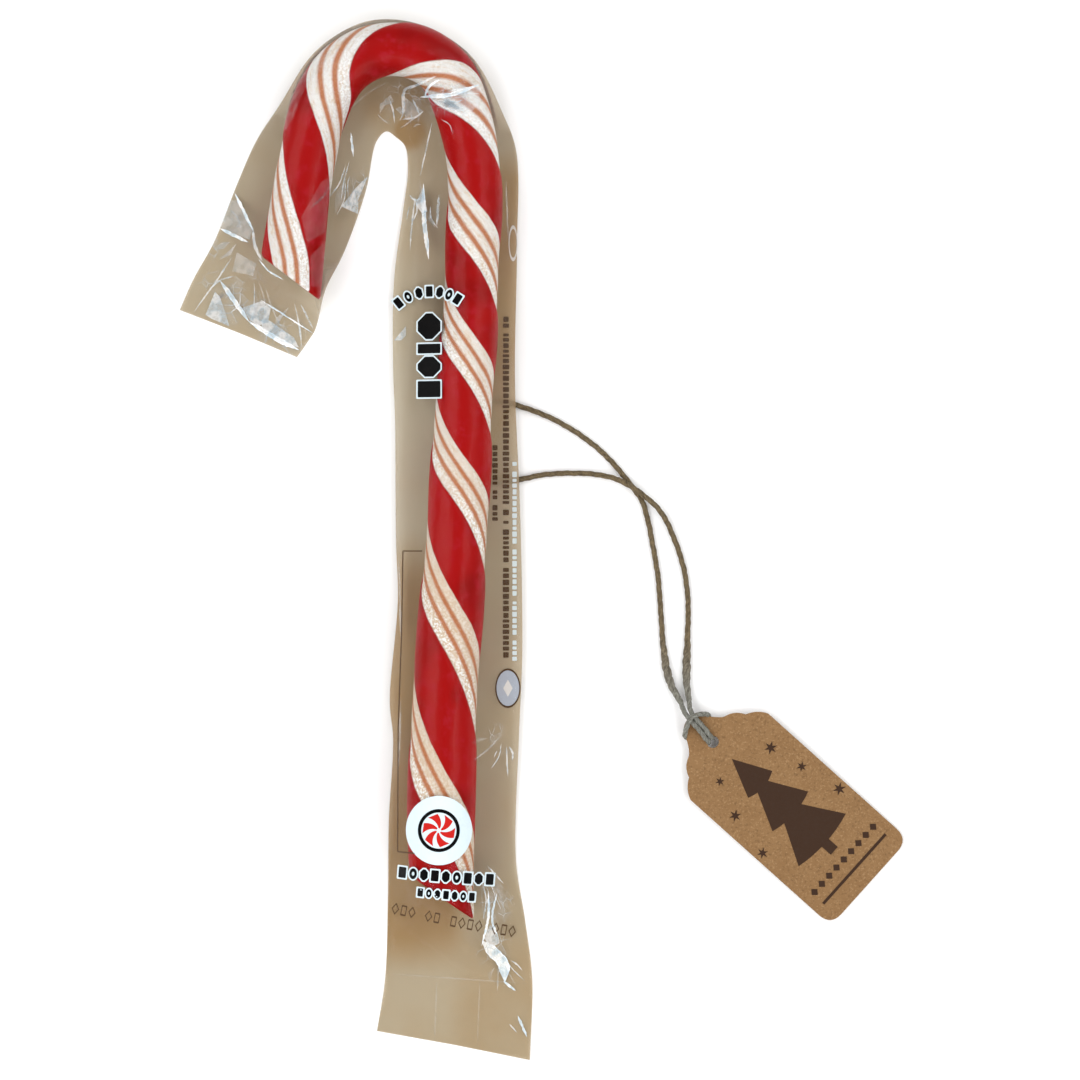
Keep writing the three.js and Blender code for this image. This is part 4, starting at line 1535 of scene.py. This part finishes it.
    @staticmethod
    def height_on(tree: BVHTree, points: Array) -> Array:
        """Heights of a layer; where a point isn't under it, the layer's nearest place is taken.

        Args:
            tree: the layer's search tree.
            points: points in plan, one a row.

        Returns:
            Millimetres for each point.
        """
        found = np.empty(len(points))
        for i, (x, y) in enumerate(points):
            hit = cast_down(tree, x, y) or tree.find_nearest(Vector((x * MM, y * MM, 0)))[0]
            found[i] = hit.z / MM
        return found

    def front_height(self, points: Array) -> Array:
        """Heights of the front layer at points in plan."""
        return self.height_on(self.front_tree, points)

    def back_height(self, points: Array) -> Array:
        """Heights of the back layer at points in plan."""
        return self.height_on(self.back_tree, points)


# ------ the print on the film


def placed(points: Outline, x: float, y: float, turn: float) -> Outline:
    """An outline turned by some degrees and moved to a place."""
    c, s = math.cos(math.radians(turn)), math.sin(math.radians(turn))
    return [(x + c * u - s * v, y + s * u + c * v) for u, v in points]


def block(x: float, y: float, wide: float, tall: float, turn: float = 0.0, corner: float = 0.25) -> Outline:
    """Outline of an upright block with clipped corners.

    Args:
        x, y: where its middle is.
        wide, tall: its size.
        turn: the degrees by which it is turned.
        corner: how much each corner is clipped.

    Returns:
        Its corners, anticlockwise.
    """
    half_w, half_h = wide / 2, tall / 2
    cut = min(corner, 0.45 * wide, 0.45 * tall)
    points = [
        (half_w, cut - half_h), (half_w, half_h - cut), (half_w - cut, half_h), (cut - half_w, half_h),
        (-half_w, half_h - cut), (-half_w, cut - half_h), (cut - half_w, -half_h), (half_w - cut, -half_h),
    ]
    return placed(points, x, y, turn)


def oval(x: float, y: float, wide: float, tall: float, sides: int = 40, turn: float = 0.0) -> Outline:
    """Outline of an oval, or of a lozenge where it has four sides.

    Args:
        x, y: where its middle is.
        wide, tall: its size.
        sides: how many sides it has.
        turn: the degrees by which it is turned.

    Returns:
        Its corners, anticlockwise.
    """
    round_ = [2 * math.pi * i / sides for i in range(sides)]
    return placed([(wide / 2 * math.cos(t), tall / 2 * math.sin(t)) for t in round_], x, y, turn)


class Mark(Enum):
    """The plain shapes that rows of print are made of."""

    BAR = "bar"
    RING = "ring"
    GEM = "gem"

    def outline(self, x: float, y: float, wide: float, tall: float, turn: float) -> Outline:
        """The mark's outline at a place and a size, turned by some degrees."""
        if self is Mark.RING:
            return oval(x, y, wide, tall, 24, turn)
        return block(x, y, wide, tall, turn, 0.15 if self is Mark.BAR else 0.36 * min(wide, tall))


@dataclass
class FilmPrint:
    """Plain print on the sleeve: blocks, gems and rings, and none is a letter or a number."""

    sleeve: FilmSleeve
    # How far a field stands off the front layer, and on another field, and small print off the back.
    lift: float = 0.04
    lift_over: float = 0.08
    back_lift: float = 0.03
    arch_middle: Pair = (15.6, 41.6)
    arch_radius: float = 10.6
    arch_degrees: tuple[float, ...] = (129, 116, 103, 91, 79, 68, 57)
    arch_block: Pair = (1.4, 2.2)
    column_x: float = 15.4
    # The upright column: (mark, where its middle is along Y, how tall it is).
    column_marks: tuple[tuple[Mark, float, float], ...] = (
        (Mark.GEM, 44.9, 5.4), (Mark.BAR, 40.2, 2.0), (Mark.GEM, 36.4, 4.2), (Mark.BAR, 31.7, 3.4),
    )
    column_width: float = 4.8
    # The marks of the arch and of both rows, in order.
    row_marks: tuple[Mark, ...] = (
        Mark.BAR, Mark.RING, Mark.GEM, Mark.BAR, Mark.GEM, Mark.RING, Mark.BAR, Mark.GEM, Mark.BAR,
    )
    # Each row: (how many marks it has, where the first is, the step to the next, a mark's size).
    rows: tuple[tuple[int, Pair, Pair, Pair], ...] = (
        (9, (9.8, -69.5), (2.29, -0.19), (1.6, 2.3)),
        (7, (13.6, -73.6), (1.80, -0.16), (1.15, 1.75)),
    )
    # The long thin row: how many places it has, which of them are free, where the first is, the
    # step to the next, how far it is turned, and its blocks and lozenges.
    fine_places: int = 15
    fine_gaps: tuple[int, ...] = (3, 6, 11)
    fine_start: Pair = (8.3, -77.3)
    fine_step: Pair = (1.75, -0.34)
    fine_degrees: float = -11.0
    fine_block: Pair = (1.15, 2.3)
    fine_gem: Pair = (1.6, 2.6)
    # Each column of small print: where it stands, its top and bottom, its ink and its width.
    small_columns: tuple[tuple[float, float, float, Ink, float], ...] = (
        (31.5, 47.0, -24.0, Ink.BROWN, 1.4),
        (33.3, 16.5, -24.5, Ink.WHITE, 1.0),
        (29.2, 20.0, 4.0, Ink.BROWN, 1.2),
    )
    # The gap between its lines, the gap between its groups, and how often one of those comes.
    line_gap: float = 0.32
    group_gap: float = 1.2
    group_share: float = 0.16
    # Ovals on the back layer: (ink, X, Y, width, height, sides, lift, share that is open).
    back_ovals: tuple[tuple[Ink, float, float, float, float, int, float, float], ...] = (
        (Ink.LAVENDER, 31.9, -31.0, 5.2, 8.2, 40, 0.03, 0.0),
        (Ink.BROWN, 31.9, -31.0, 5.3, 8.3, 40, 0.06, 0.9),
        (Ink.PALE, 31.9, -31.0, 2.0, 3.6, 4, 0.06, 0.0),
        (Ink.PALE, 33.0, 62.4, 1.9, 7.6, 24, 0.03, 0.8),
    )
    # The roundel: (X, Y, width, height), and its black ring: (width, height, share that is open).
    disc: tuple[float, float, float, float] = (17.5, -60.6, 13.9, 14.5)
    disc_ring: tuple[float, float, float] = (8.8, 9.0, 0.84)
    # Its swirl: how many blades, how wide one is and how far it sweeps in degrees, how many steps
    # a side has, how far from the middle it begins, and how long it is.
    blades: int = 6
    blade_degrees: float = 36.0
    blade_sweep: float = 34.0
    blade_steps: int = 8
    blade_from: float = 0.5
    blade_length: float = 3.0
    # The thin line that frames the left wing.
    box_corners: Places = (
        (14.0, -2.2), (9.9, -2.2), (9.6, -20.0), (8.9, -40.0), (8.8, -65.2), (12.4, -65.4),
    )
    box_line: float = 0.26
    # The white edge of a black mark, and the share of a ring and of a fine outline that is open.
    edge: float = 0.32
    ring_hole: float = 0.36
    fine_hole: float = 0.70

    def edged(
        self, mark: Mark, x: float, y: float, wide: float, tall: float, turn: float = 0.0
    ) -> list[Patch]:
        """A black mark with a white edge.

        Args:
            mark: its shape.
            x, y: where its middle is.
            wide, tall: its size without the edge.
            turn: the degrees by which it is turned.

        Returns:
            The edge's field and the mark's.
        """
        rim, hole = 2 * self.edge, self.ring_hole if mark is Mark.RING else 0.0
        return [
            Patch(Ink.WHITE, mark.outline(x, y, wide + rim, tall + rim, turn), self.lift),
            Patch(Ink.BLACK, mark.outline(x, y, wide, tall, turn), self.lift_over, hole=hole),
        ]

    def row(self, count: int, start: Pair, step: Pair, size: Pair) -> list[Patch]:
        """A slanting row of marks.

        Args:
            count: how many there are.
            start: where the first is.
            step: how far the next one is from each.
            size: the width and height of each.

        Returns:
            The row's fields.
        """
        turn = math.degrees(math.atan2(step[1], step[0]))
        fields = []
        for i, mark in enumerate(self.row_marks[:count]):
            fields += self.edged(mark, start[0] + step[0] * i, start[1] + step[1] * i, *size, turn)
        return fields

    def arch(self) -> list[Patch]:
        """An arch of marks."""
        fields = []
        for mark, degrees in zip(self.row_marks, self.arch_degrees):
            turn = math.radians(degrees)
            x = self.arch_middle[0] + self.arch_radius * math.cos(turn)
            y = self.arch_middle[1] + self.arch_radius * math.sin(turn)
            fields += self.edged(mark, x, y, *self.arch_block, degrees - 90)
        return fields

    def front_fields(self) -> list[Patch]:
        """The fields on the front layer."""
        fields = self.arch()
        for mark, y, tall in self.column_marks:
            fields += self.edged(mark, self.column_x, y, self.column_width, tall)
        fields += self.roundel()
        for count, start, step, size in self.rows:
            fields += self.row(count, start, step, size)
        fields += self.fine_row()
        fields += self.box_outline()
        return fields

    def fine_row(self) -> list[Patch]:
        """A long slanting row of thin outlines, blocks and lozenges by turns, in four groups."""
        fields = []
        for i in (n for n in range(self.fine_places) if n not in self.fine_gaps):
            x, y = self.fine_start[0] + self.fine_step[0] * i, self.fine_start[1] + self.fine_step[1] * i
            if i % 2:
                shape = block(x, y, *self.fine_block, self.fine_degrees, 0.1)
            else:
                shape = oval(x, y, *self.fine_gem, 4, self.fine_degrees)
            fields.append(Patch(Ink.BROWN, shape, self.lift, hole=self.fine_hole))
        return fields

    def blade_side(self, start: float) -> Outline:
        """One side of a blade, from the middle outwards, that begins at some degrees."""
        x, y = self.disc[:2]
        points = []
        for step in range(self.blade_steps + 1):
            r = self.blade_from + self.blade_length * step / self.blade_steps
            turn = math.radians(start + self.blade_sweep * step / self.blade_steps)
            points.append((x + r * math.cos(turn), y + r * math.sin(turn)))
        return points

    def roundel(self) -> list[Patch]:
        """A white disc with a plain red swirl in a black ring."""
        x, y, wide, tall = self.disc
        ring_wide, ring_tall, hole = self.disc_ring
        fields = [
            Patch(Ink.WHITE, oval(x, y, wide, tall, 56), self.lift),
            Patch(Ink.BLACK, oval(x, y, ring_wide, ring_tall, 48), self.lift_over, hole=hole),
        ]
        for blade in range(self.blades):
            start = 360 / self.blades * blade
            outline = self.blade_side(start) + self.blade_side(start + self.blade_degrees)[::-1]
            fields.append(Patch(Ink.RED, outline, self.lift_over))
        return fields

    def box_outline(self) -> list[Patch]:
        """A thin brown line that frames the left wing."""
        fields = []
        for (x0, y0), (x1, y1) in zip(self.box_corners, self.box_corners[1:]):
            long = math.hypot(x1 - x0, y1 - y0)
            turn = math.degrees(math.atan2(y1 - y0, x1 - x0))
            shape = block((x0 + x1) / 2, (y0 + y1) / 2, long, self.box_line, turn, 0.05)
            fields.append(Patch(Ink.BROWN, shape, self.lift))
        return fields

    def back_fields(self) -> list[Patch]:
        """The fields on the back layer, seen through the front one."""
        random = np.random.default_rng(31)
        fields = []
        for x, top, bottom, ink, wide in self.small_columns:
            y = top
            while y > bottom:
                tall = float(random.uniform(0.6, 1.2))
                across = wide * float(random.uniform(0.8, 1.0))
                fields.append(Patch(ink, block(x, y - tall / 2, across, tall, 0, 0.12), self.back_lift))
                y -= tall + (self.group_gap if random.uniform() < self.group_share else self.line_gap)
        for ink, x, y, wide, tall, sides, lift, hole in self.back_ovals:
            fields.append(Patch(ink, oval(x, y, wide, tall, sides), lift, hole=hole))
        return fields

    def build(self) -> list[Piece]:
        """Builds the print on both layers.

        Returns:
            The pieces, one for each ink on each layer.
        """
        front = thin_fields("front", self.front_fields(), Ink, self.sleeve.front_height)
        back = thin_fields("back", self.back_fields(), Ink, self.sleeve.back_height)
        return front + back


# ------ twine, hitch and tag


def plied_tube(
    line: SmoothLine,
    radius: float,
    plies: int = 3,
    pitch: float = 7.0,
    sides: int = 8,
    step: float = 0.3,
    fray: float = 0.0,
    fray_at: float = 7.0,
) -> tuple[Array, list, Array]:
    """Plies that wind round one another along a line.

    Args:
        line: the line, in millimetres.
        radius: half the thickness over all plies.
        plies: how many there are.
        pitch: how far along one turn takes.
        sides: how many sides each ply has.
        step: how far apart its rings lie.
        fray: the share by which it is thicker near its ends, where the plies come loose.
        fray_at: how far from an end it is thickest.

    Returns:
        Vertices, faces, and a pair for each face corner: the share of the way round a ply, and
        millimetres along it.
    """
    count = max(8, round(line.length / step))
    distance = np.linspace(0.0, line.length, count)
    centre, heading = line.at(distance), line.heading(distance)
    side = np.empty_like(centre)
    side[0] = np.cross(heading[0], (0.0, 0.0, 1.0))
    for i in range(1, count):
        side[i] = side[i - 1] - heading[i] * (side[i - 1] @ heading[i])
        side[i] /= np.linalg.norm(side[i])
    side[0] /= np.linalg.norm(side[0])
    lift = np.cross(heading, side)
    from_end = np.minimum(distance, line.length - distance)
    thick = 1 + fray * np.exp(-(((from_end - fray_at) / 5.0) ** 2))
    ply_radius = radius * 0.68
    offset = (radius - ply_radius) * thick**1.8
    around = 2 * math.pi * np.arange(sides) / sides
    corners, faces, uvs = [], [], []
    for ply in range(plies):
        turn = 2 * math.pi * (ply / plies + distance / pitch)
        out = side * np.cos(turn)[:, None] + lift * np.sin(turn)[:, None]
        cross = lift * np.cos(turn)[:, None] - side * np.sin(turn)[:, None]
        uneven = 1 + 0.06 * np.sin(distance * 2.1 + 2.4 * ply) + 0.04 * np.sin(distance * 5.3 + ply)
        ring = out[:, None, :] * np.cos(around)[None, :, None]
        ring = ring + cross[:, None, :] * np.sin(around)[None, :, None]
        middle = centre[:, None, :] + (offset[:, None] * out)[:, None, :]
        tube = middle + ring * (ply_radius * uneven * thick)[:, None, None]
        first = sum(len(c) for c in corners)
        corners.append(np.vstack([tube.reshape(-1, 3), tube[0].mean(0), tube[-1].mean(0)]))
        body = [face[::-1] for face in grid_faces(count, sides, closed=True, first=first)]
        head, tail = first + count * sides, first + count * sides + 1
        last = first + (count - 1) * sides
        caps = []
        for i in range(sides):
            j = (i + 1) % sides
            caps += [(head, first + i, first + j), (tail, last + j, last + i)]
        for face in body:
            rows = [divmod(c - first, sides) for c in face]
            wraps = {c for _, c in rows} == {0, sides - 1}
            uvs += [((sides if wraps and c == 0 else c) / sides, distance[r]) for r, c in rows]
        uvs += [(0.5, 0.0)] * (3 * len(caps))
        faces += body + caps
    return np.vstack(corners), faces, np.array(uvs)


@dataclass
class TwineLoop:
    """The loop of twine: from the hitch, round under the long leg, and back."""

    # Where the twine goes, in plan and, where it doesn't lie on the table, how high.
    route: tuple[tuple[float, ...], ...] = (
        (69.9, -33.6, 1.45), (69.4, -29.3, 0.8), (69.6, -20.9), (69.7, -12.5), (68.8, -5.8),
        (66.6, 0.9, 0.75), (64.0, 6.0, 1.2), (60.6, 9.3, 1.95), (57.3, 11.6, 2.15), (54.0, 13.1, 1.5),
        (49.1, 14.0, 0.8), (40.3, 13.9), (34.9, 12.9), (31.5, 12.2), (28.3, 12.0), (24.8, 12.7),
        (20.8, 14.6), (18.5, 18.0), (18.2, 22.8), (19.8, 26.4), (23.1, 28.6), (27.3, 29.4),
        (31.1, 29.2), (34.4, 28.2), (40.3, 26.0), (46.4, 22.6), (51.6, 18.6), (55.2, 14.8),
        (57.6, 11.8), (60.0, 8.4), (61.3, 4.2), (62.3, -0.9), (63.4, -7.5), (64.0, -15.0),
        (64.6, -22.8), (65.8, -29.3, 0.8), (68.2, -34.1, 1.45),
    )
    lies_at: float = 0.62
    radius: float = 0.6
    fray: float = 0.42
    finish: TwineFinish = field(default_factory=TwineFinish)

    def build(self, carries: Sequence[Piece]) -> Piece:
        """Args:
            carries: the pieces on it, which are the hitch and the tag with its print; not used.

        Returns:
            The loop.
        """
        line = SmoothLine([(*point, self.lies_at)[:3] for point in self.route])
        corners, faces, uvs = plied_tube(line, self.radius, fray=self.fray)
        piece = make_piece("twine_loop", corners, faces, self.finish.material(), uvs)
        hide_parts("twine")
        LOG.info("twine: %.1f mm long", line.length)
        return piece


@dataclass
class TagOnHitch:
    """The scalloped tag and the lark's head that ties it to the twine."""

    nose: Pair = (69.6, -37.5)
    turn_degrees: float = -41.9
    length: float = 51.4
    thickness: float = 0.5
    nose_lift: float = 1.75
    far_lift: float = 0.05
    hole_u: float = 7.1
    strand_radius: float = 0.56
    strand_spread: float = 0.56
    strand_pitch: float = 5.0
    strand_step: float = 0.22
    skew: float = 0.9
    # Where each leg comes out from under the card and climbs to the band.
    upper_leg: Spots = ((3.4, 3.1, 0.8), (2.55, 3.5, 2.0), (1.3, 2.6, 3.25))
    lower_leg: Spots = ((3.0, -2.7, 0.8), (2.0, -3.0, 2.0), (0.9, -1.1, 3.25))
    # Where each loose end comes out of the twine that it goes on as.
    upper_end: Spots = ((-3.6, 4.2, 1.3), (-2.3, 3.1, 1.55), (-1.1, 2.0, 2.4))
    lower_end: Spots = ((-4.6, 2.2, 1.3), (-3.2, 1.55, 1.55), (-1.7, 0.8, 2.35))
    # The fir tree's tiers: (where it starts, where it ends, how wide it is), from the nose.
    tiers: Spots = ((12.5, 20.5, 7.6), (18.0, 29.0, 11.2), (25.0, 38.0, 14.8))
    # The stars: (distance from the nose, distance to the side, size).
    stars: Spots = (
        (17.0, 7.2, 1.4), (24.5, 8.6, 1.1), (21.0, -8.4, 1.3),
        (30.5, -10.4, 1.2), (33.5, 10.4, 1.4), (13.8, -5.2, 1.0),
    )
    kraft: KraftFinish = field(default_factory=KraftFinish)
    twine: TwineFinish = field(default_factory=TwineFinish)

    def to_row_frame(self, points: Array) -> Array:
        """Turns points from the tag's own directions to the row frame's.

        Args:
            points: one a row: distances from the nose and to the side, and heights or none.

        Returns:
            The same points in the row frame.
        """
        c, s = math.cos(math.radians(self.turn_degrees)), math.sin(math.radians(self.turn_degrees))
        u, v = points[:, 0], points[:, 1]
        x, y = self.nose[0] + c * u - s * v, self.nose[1] + s * u + c * v
        return np.column_stack([x, y, points[:, 2]]) if points.shape[1] == 3 else np.column_stack([x, y])

    def top_at(self, u: Array) -> Array:
        """Height of the card's upper face at distances from its nose."""
        slope = (self.nose_lift - self.far_lift) / self.length
        return self.nose_lift + self.thickness - u * slope

    def hitch_half(self, side: int, loose_end: Spots) -> list[tuple[float, ...]]:
        """Half of the hitch: over the card to the hole, down, back beneath, and up over the strands.

        Args:
            side: 1 for the half on the left of the nose's direction, and -1 for the other.
            loose_end: where it comes out of the twine.

        Returns:
            Its points in the tag's own directions.
        """
        strand = side * self.strand_spread
        legs = self.upper_leg if side > 0 else self.lower_leg
        return [
            *loose_end,
            (0, self.skew + strand, 2.95),
            (self.hole_u - 2.8, 0.4 * self.skew + strand, 3.0),
            (self.hole_u - 1.3, strand, 2.75),
            (self.hole_u - 0.55, strand, 1.75),
            (self.hole_u - 1.1, side * 0.9, 0.75),
            (self.hole_u - 2.6, side * 2.3, 0.62),
            *legs,
        ]

    def build_hitch(self) -> Piece:
        """Builds the strand of the hitch."""
        upper = self.hitch_half(1, self.upper_end)
        lower = self.hitch_half(-1, self.lower_end)
        route = np.array([*upper, (0.4, self.skew, 4.1), *reversed(lower)], float)
        line = SmoothLine(self.to_row_frame(route))
        corners, faces, uvs = plied_tube(
            line, self.strand_radius, pitch=self.strand_pitch, step=self.strand_step
        )
        piece = make_piece("hitch_strand", corners, faces, self.twine.material(), uvs)
        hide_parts("twine_hitch")
        return piece

    def dress_card(self) -> Piece:
        """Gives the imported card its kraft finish."""
        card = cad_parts["paper_tag"]
        card.data.materials.clear()
        card.data.materials.append(self.kraft.material())
        return card

    def motif(self) -> list[Patch]:
        """A plain seasonal print of a fir tree, stars and a border.

        Returns:
            Its fields in the row frame.
        """
        fields = []
        for top, bottom, wide in self.tiers:
            spread = wide / 2
            skirt = [(bottom + 0.9 * (1 - (2 * i / 8 - 1) ** 2), spread * (1 - 2 * i / 8)) for i in range(9)]
            fields.append([(top, 0.0), *skirt])
        fields.append([(38.6, -1.1), (38.6, 1.1), (41.4, 1.1), (41.4, -1.1)])
        for u, v, size in self.stars:
            star = []
            for i in range(12):
                r, turn = size * (1.0 if i % 2 == 0 else 0.38), math.pi * i / 6
                star.append((u + r * math.cos(turn), v + r * math.sin(turn)))
            fields.append(star)
        for i in range(9):
            v = -9.2 + 2.3 * i
            fields.append([(43.2, v), (44.1, v + 0.85), (45.0, v), (44.1, v - 0.85)])
        fields.append([(46.8, -9.8), (46.8, 9.8), (47.4, 9.8), (47.4, -9.8)])
        patches = []
        for number, outline in enumerate(fields):
            flat = self.to_row_frame(np.array(outline, float))
            lift = 0.012 + 0.012 * min(number, 3)
            patches.append(Patch(Ink.TAG, [tuple(p) for p in flat], lift))
        return patches

    def height_on_card(self, points: Array) -> Array:
        """Height of the card's upper face at points in plan."""
        s, c = math.sin(math.radians(self.turn_degrees)), math.cos(math.radians(self.turn_degrees))
        u = (points[:, 0] - self.nose[0]) * c + (points[:, 1] - self.nose[1]) * s
        return self.top_at(u)

    def build(self) -> list[Piece]:
        """Builds the hitch, dresses the card and prints it.

        Returns:
            The hitch, the card and its print.
        """
        prints = thin_fields("card", self.motif(), Ink, self.height_on_card)
        return [self.build_hitch(), self.dress_card(), *prints]


# ------ camera, table and light


@dataclass
class Studio:
    """The camera straight above, a pale table and large soft lamps."""

    view_middle: Pair = (38.64, 0.105)
    view_width: float = 226.8
    camera_height: float = 3000.0
    # Each lamp: (azimuth from +X, elevation, distance in metres, size in metres, watts, colour).
    lamps: tuple[tuple[float, float, float, float, float, Colour], ...] = (
        (155.0, 42.0, 1.8, 1.6, 22.0, (1.0, 1.0, 1.0)),
        (35.0, 42.0, 1.8, 1.6, 19.0, (0.98, 0.99, 1.0)),
        (-40.0, 42.0, 1.8, 1.6, 18.0, (1.0, 0.99, 0.98)),
        (-130.0, 42.0, 1.8, 1.6, 18.0, (0.98, 0.99, 1.0)),
    )
    # Where the lamps point, and half the table's width, in metres.
    lit_spot: tuple[float, float, float] = (0.03, 0.0, 0.0)
    table_reach: float = 3.0
    world_colour: Colour = (1.0, 0.985, 0.96)
    world_strength: float = 0.18

    def build_camera(self) -> None:
        """Places the camera with a long lens, so that it looks straight down on everything."""
        data = bpy.data.cameras.new("camera")
        data.sensor_width = 36.0
        data.lens = data.sensor_width * self.camera_height / self.view_width
        data.clip_start, data.clip_end = 0.05, 20.0
        camera = bpy.data.objects.new("camera", data)
        camera.location = Vector((*self.view_middle, self.camera_height)) * MM
        bpy.context.scene.collection.objects.link(camera)
        bpy.context.scene.camera = camera

    def build(self) -> None:
        """Sets plain colours, lays the table and hangs the lamps."""
        scene = bpy.context.scene
        scene.view_settings.view_transform = "Standard"
        scene.view_settings.look = "None"
        self.build_table(scene)
        self.build_world(scene)
        self.build_lamps(scene)

    def build_table(self, scene: bpy.types.Scene) -> None:
        """Lays the table."""
        reach = self.table_reach
        mesh = bpy.data.meshes.new("floor")
        corners = [(-reach, -reach, 0), (reach, -reach, 0), (reach, reach, 0), (-reach, reach, 0)]
        mesh.from_pydata(corners, [], [(0, 1, 2, 3)])
        mesh.materials.append(FloorFinish().material())
        floor = bpy.data.objects.new("floor", mesh)
        scene.collection.objects.link(floor)

    def build_world(self, scene: bpy.types.Scene) -> None:
        """Fills the surroundings with dim warm light."""
        world = bpy.data.worlds.new("studio")
        world.use_nodes = True
        background = world.node_tree.nodes["Background"]
        background.inputs[0].default_value = (*self.world_colour, 1.0)
        background.inputs[1].default_value = self.world_strength
        scene.world = world

    def build_lamps(self, scene: bpy.types.Scene) -> None:
        """Hangs the lamps."""
        for number, (azimuth, elevation, distance, side, watts, colour) in enumerate(self.lamps):
            data = bpy.data.lights.new(f"lamp_{number}", "AREA")
            data.shape, data.size, data.energy, data.color = "SQUARE", side, watts, colour
            lamp = bpy.data.objects.new(f"lamp_{number}", data)
            a, e = math.radians(azimuth), math.radians(elevation)
            away = Vector((math.cos(a) * math.cos(e), math.sin(a) * math.cos(e), math.sin(e)))
            lamp.location = Vector(self.lit_spot) + away * distance
            lamp.rotation_mode = "QUATERNION"
            lamp.rotation_quaternion = away.to_track_quat("Z", "Y")
            scene.collection.objects.link(lamp)


def main() -> None:
    """Builds every piece in order and reports it."""
    logging.basicConfig(level=logging.INFO, format="%(name)s: %(message)s")
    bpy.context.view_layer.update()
    studio = Studio()
    studio.build_camera()
    tag_pieces = TagOnHitch().build()
    loop = TwineLoop().build(tag_pieces)
    cane = SugarCane()
    pieces = [loop, *tag_pieces, cane.build()]
    sleeve = FilmSleeve(cane)
    pieces += sleeve.build()
    pieces += FilmPrint(sleeve).build()
    studio.build()
    for piece in pieces:
        LOG.info("%s: %d faces", piece.name, len(piece.data.polygons))


if __name__ == "__main__":
    main()
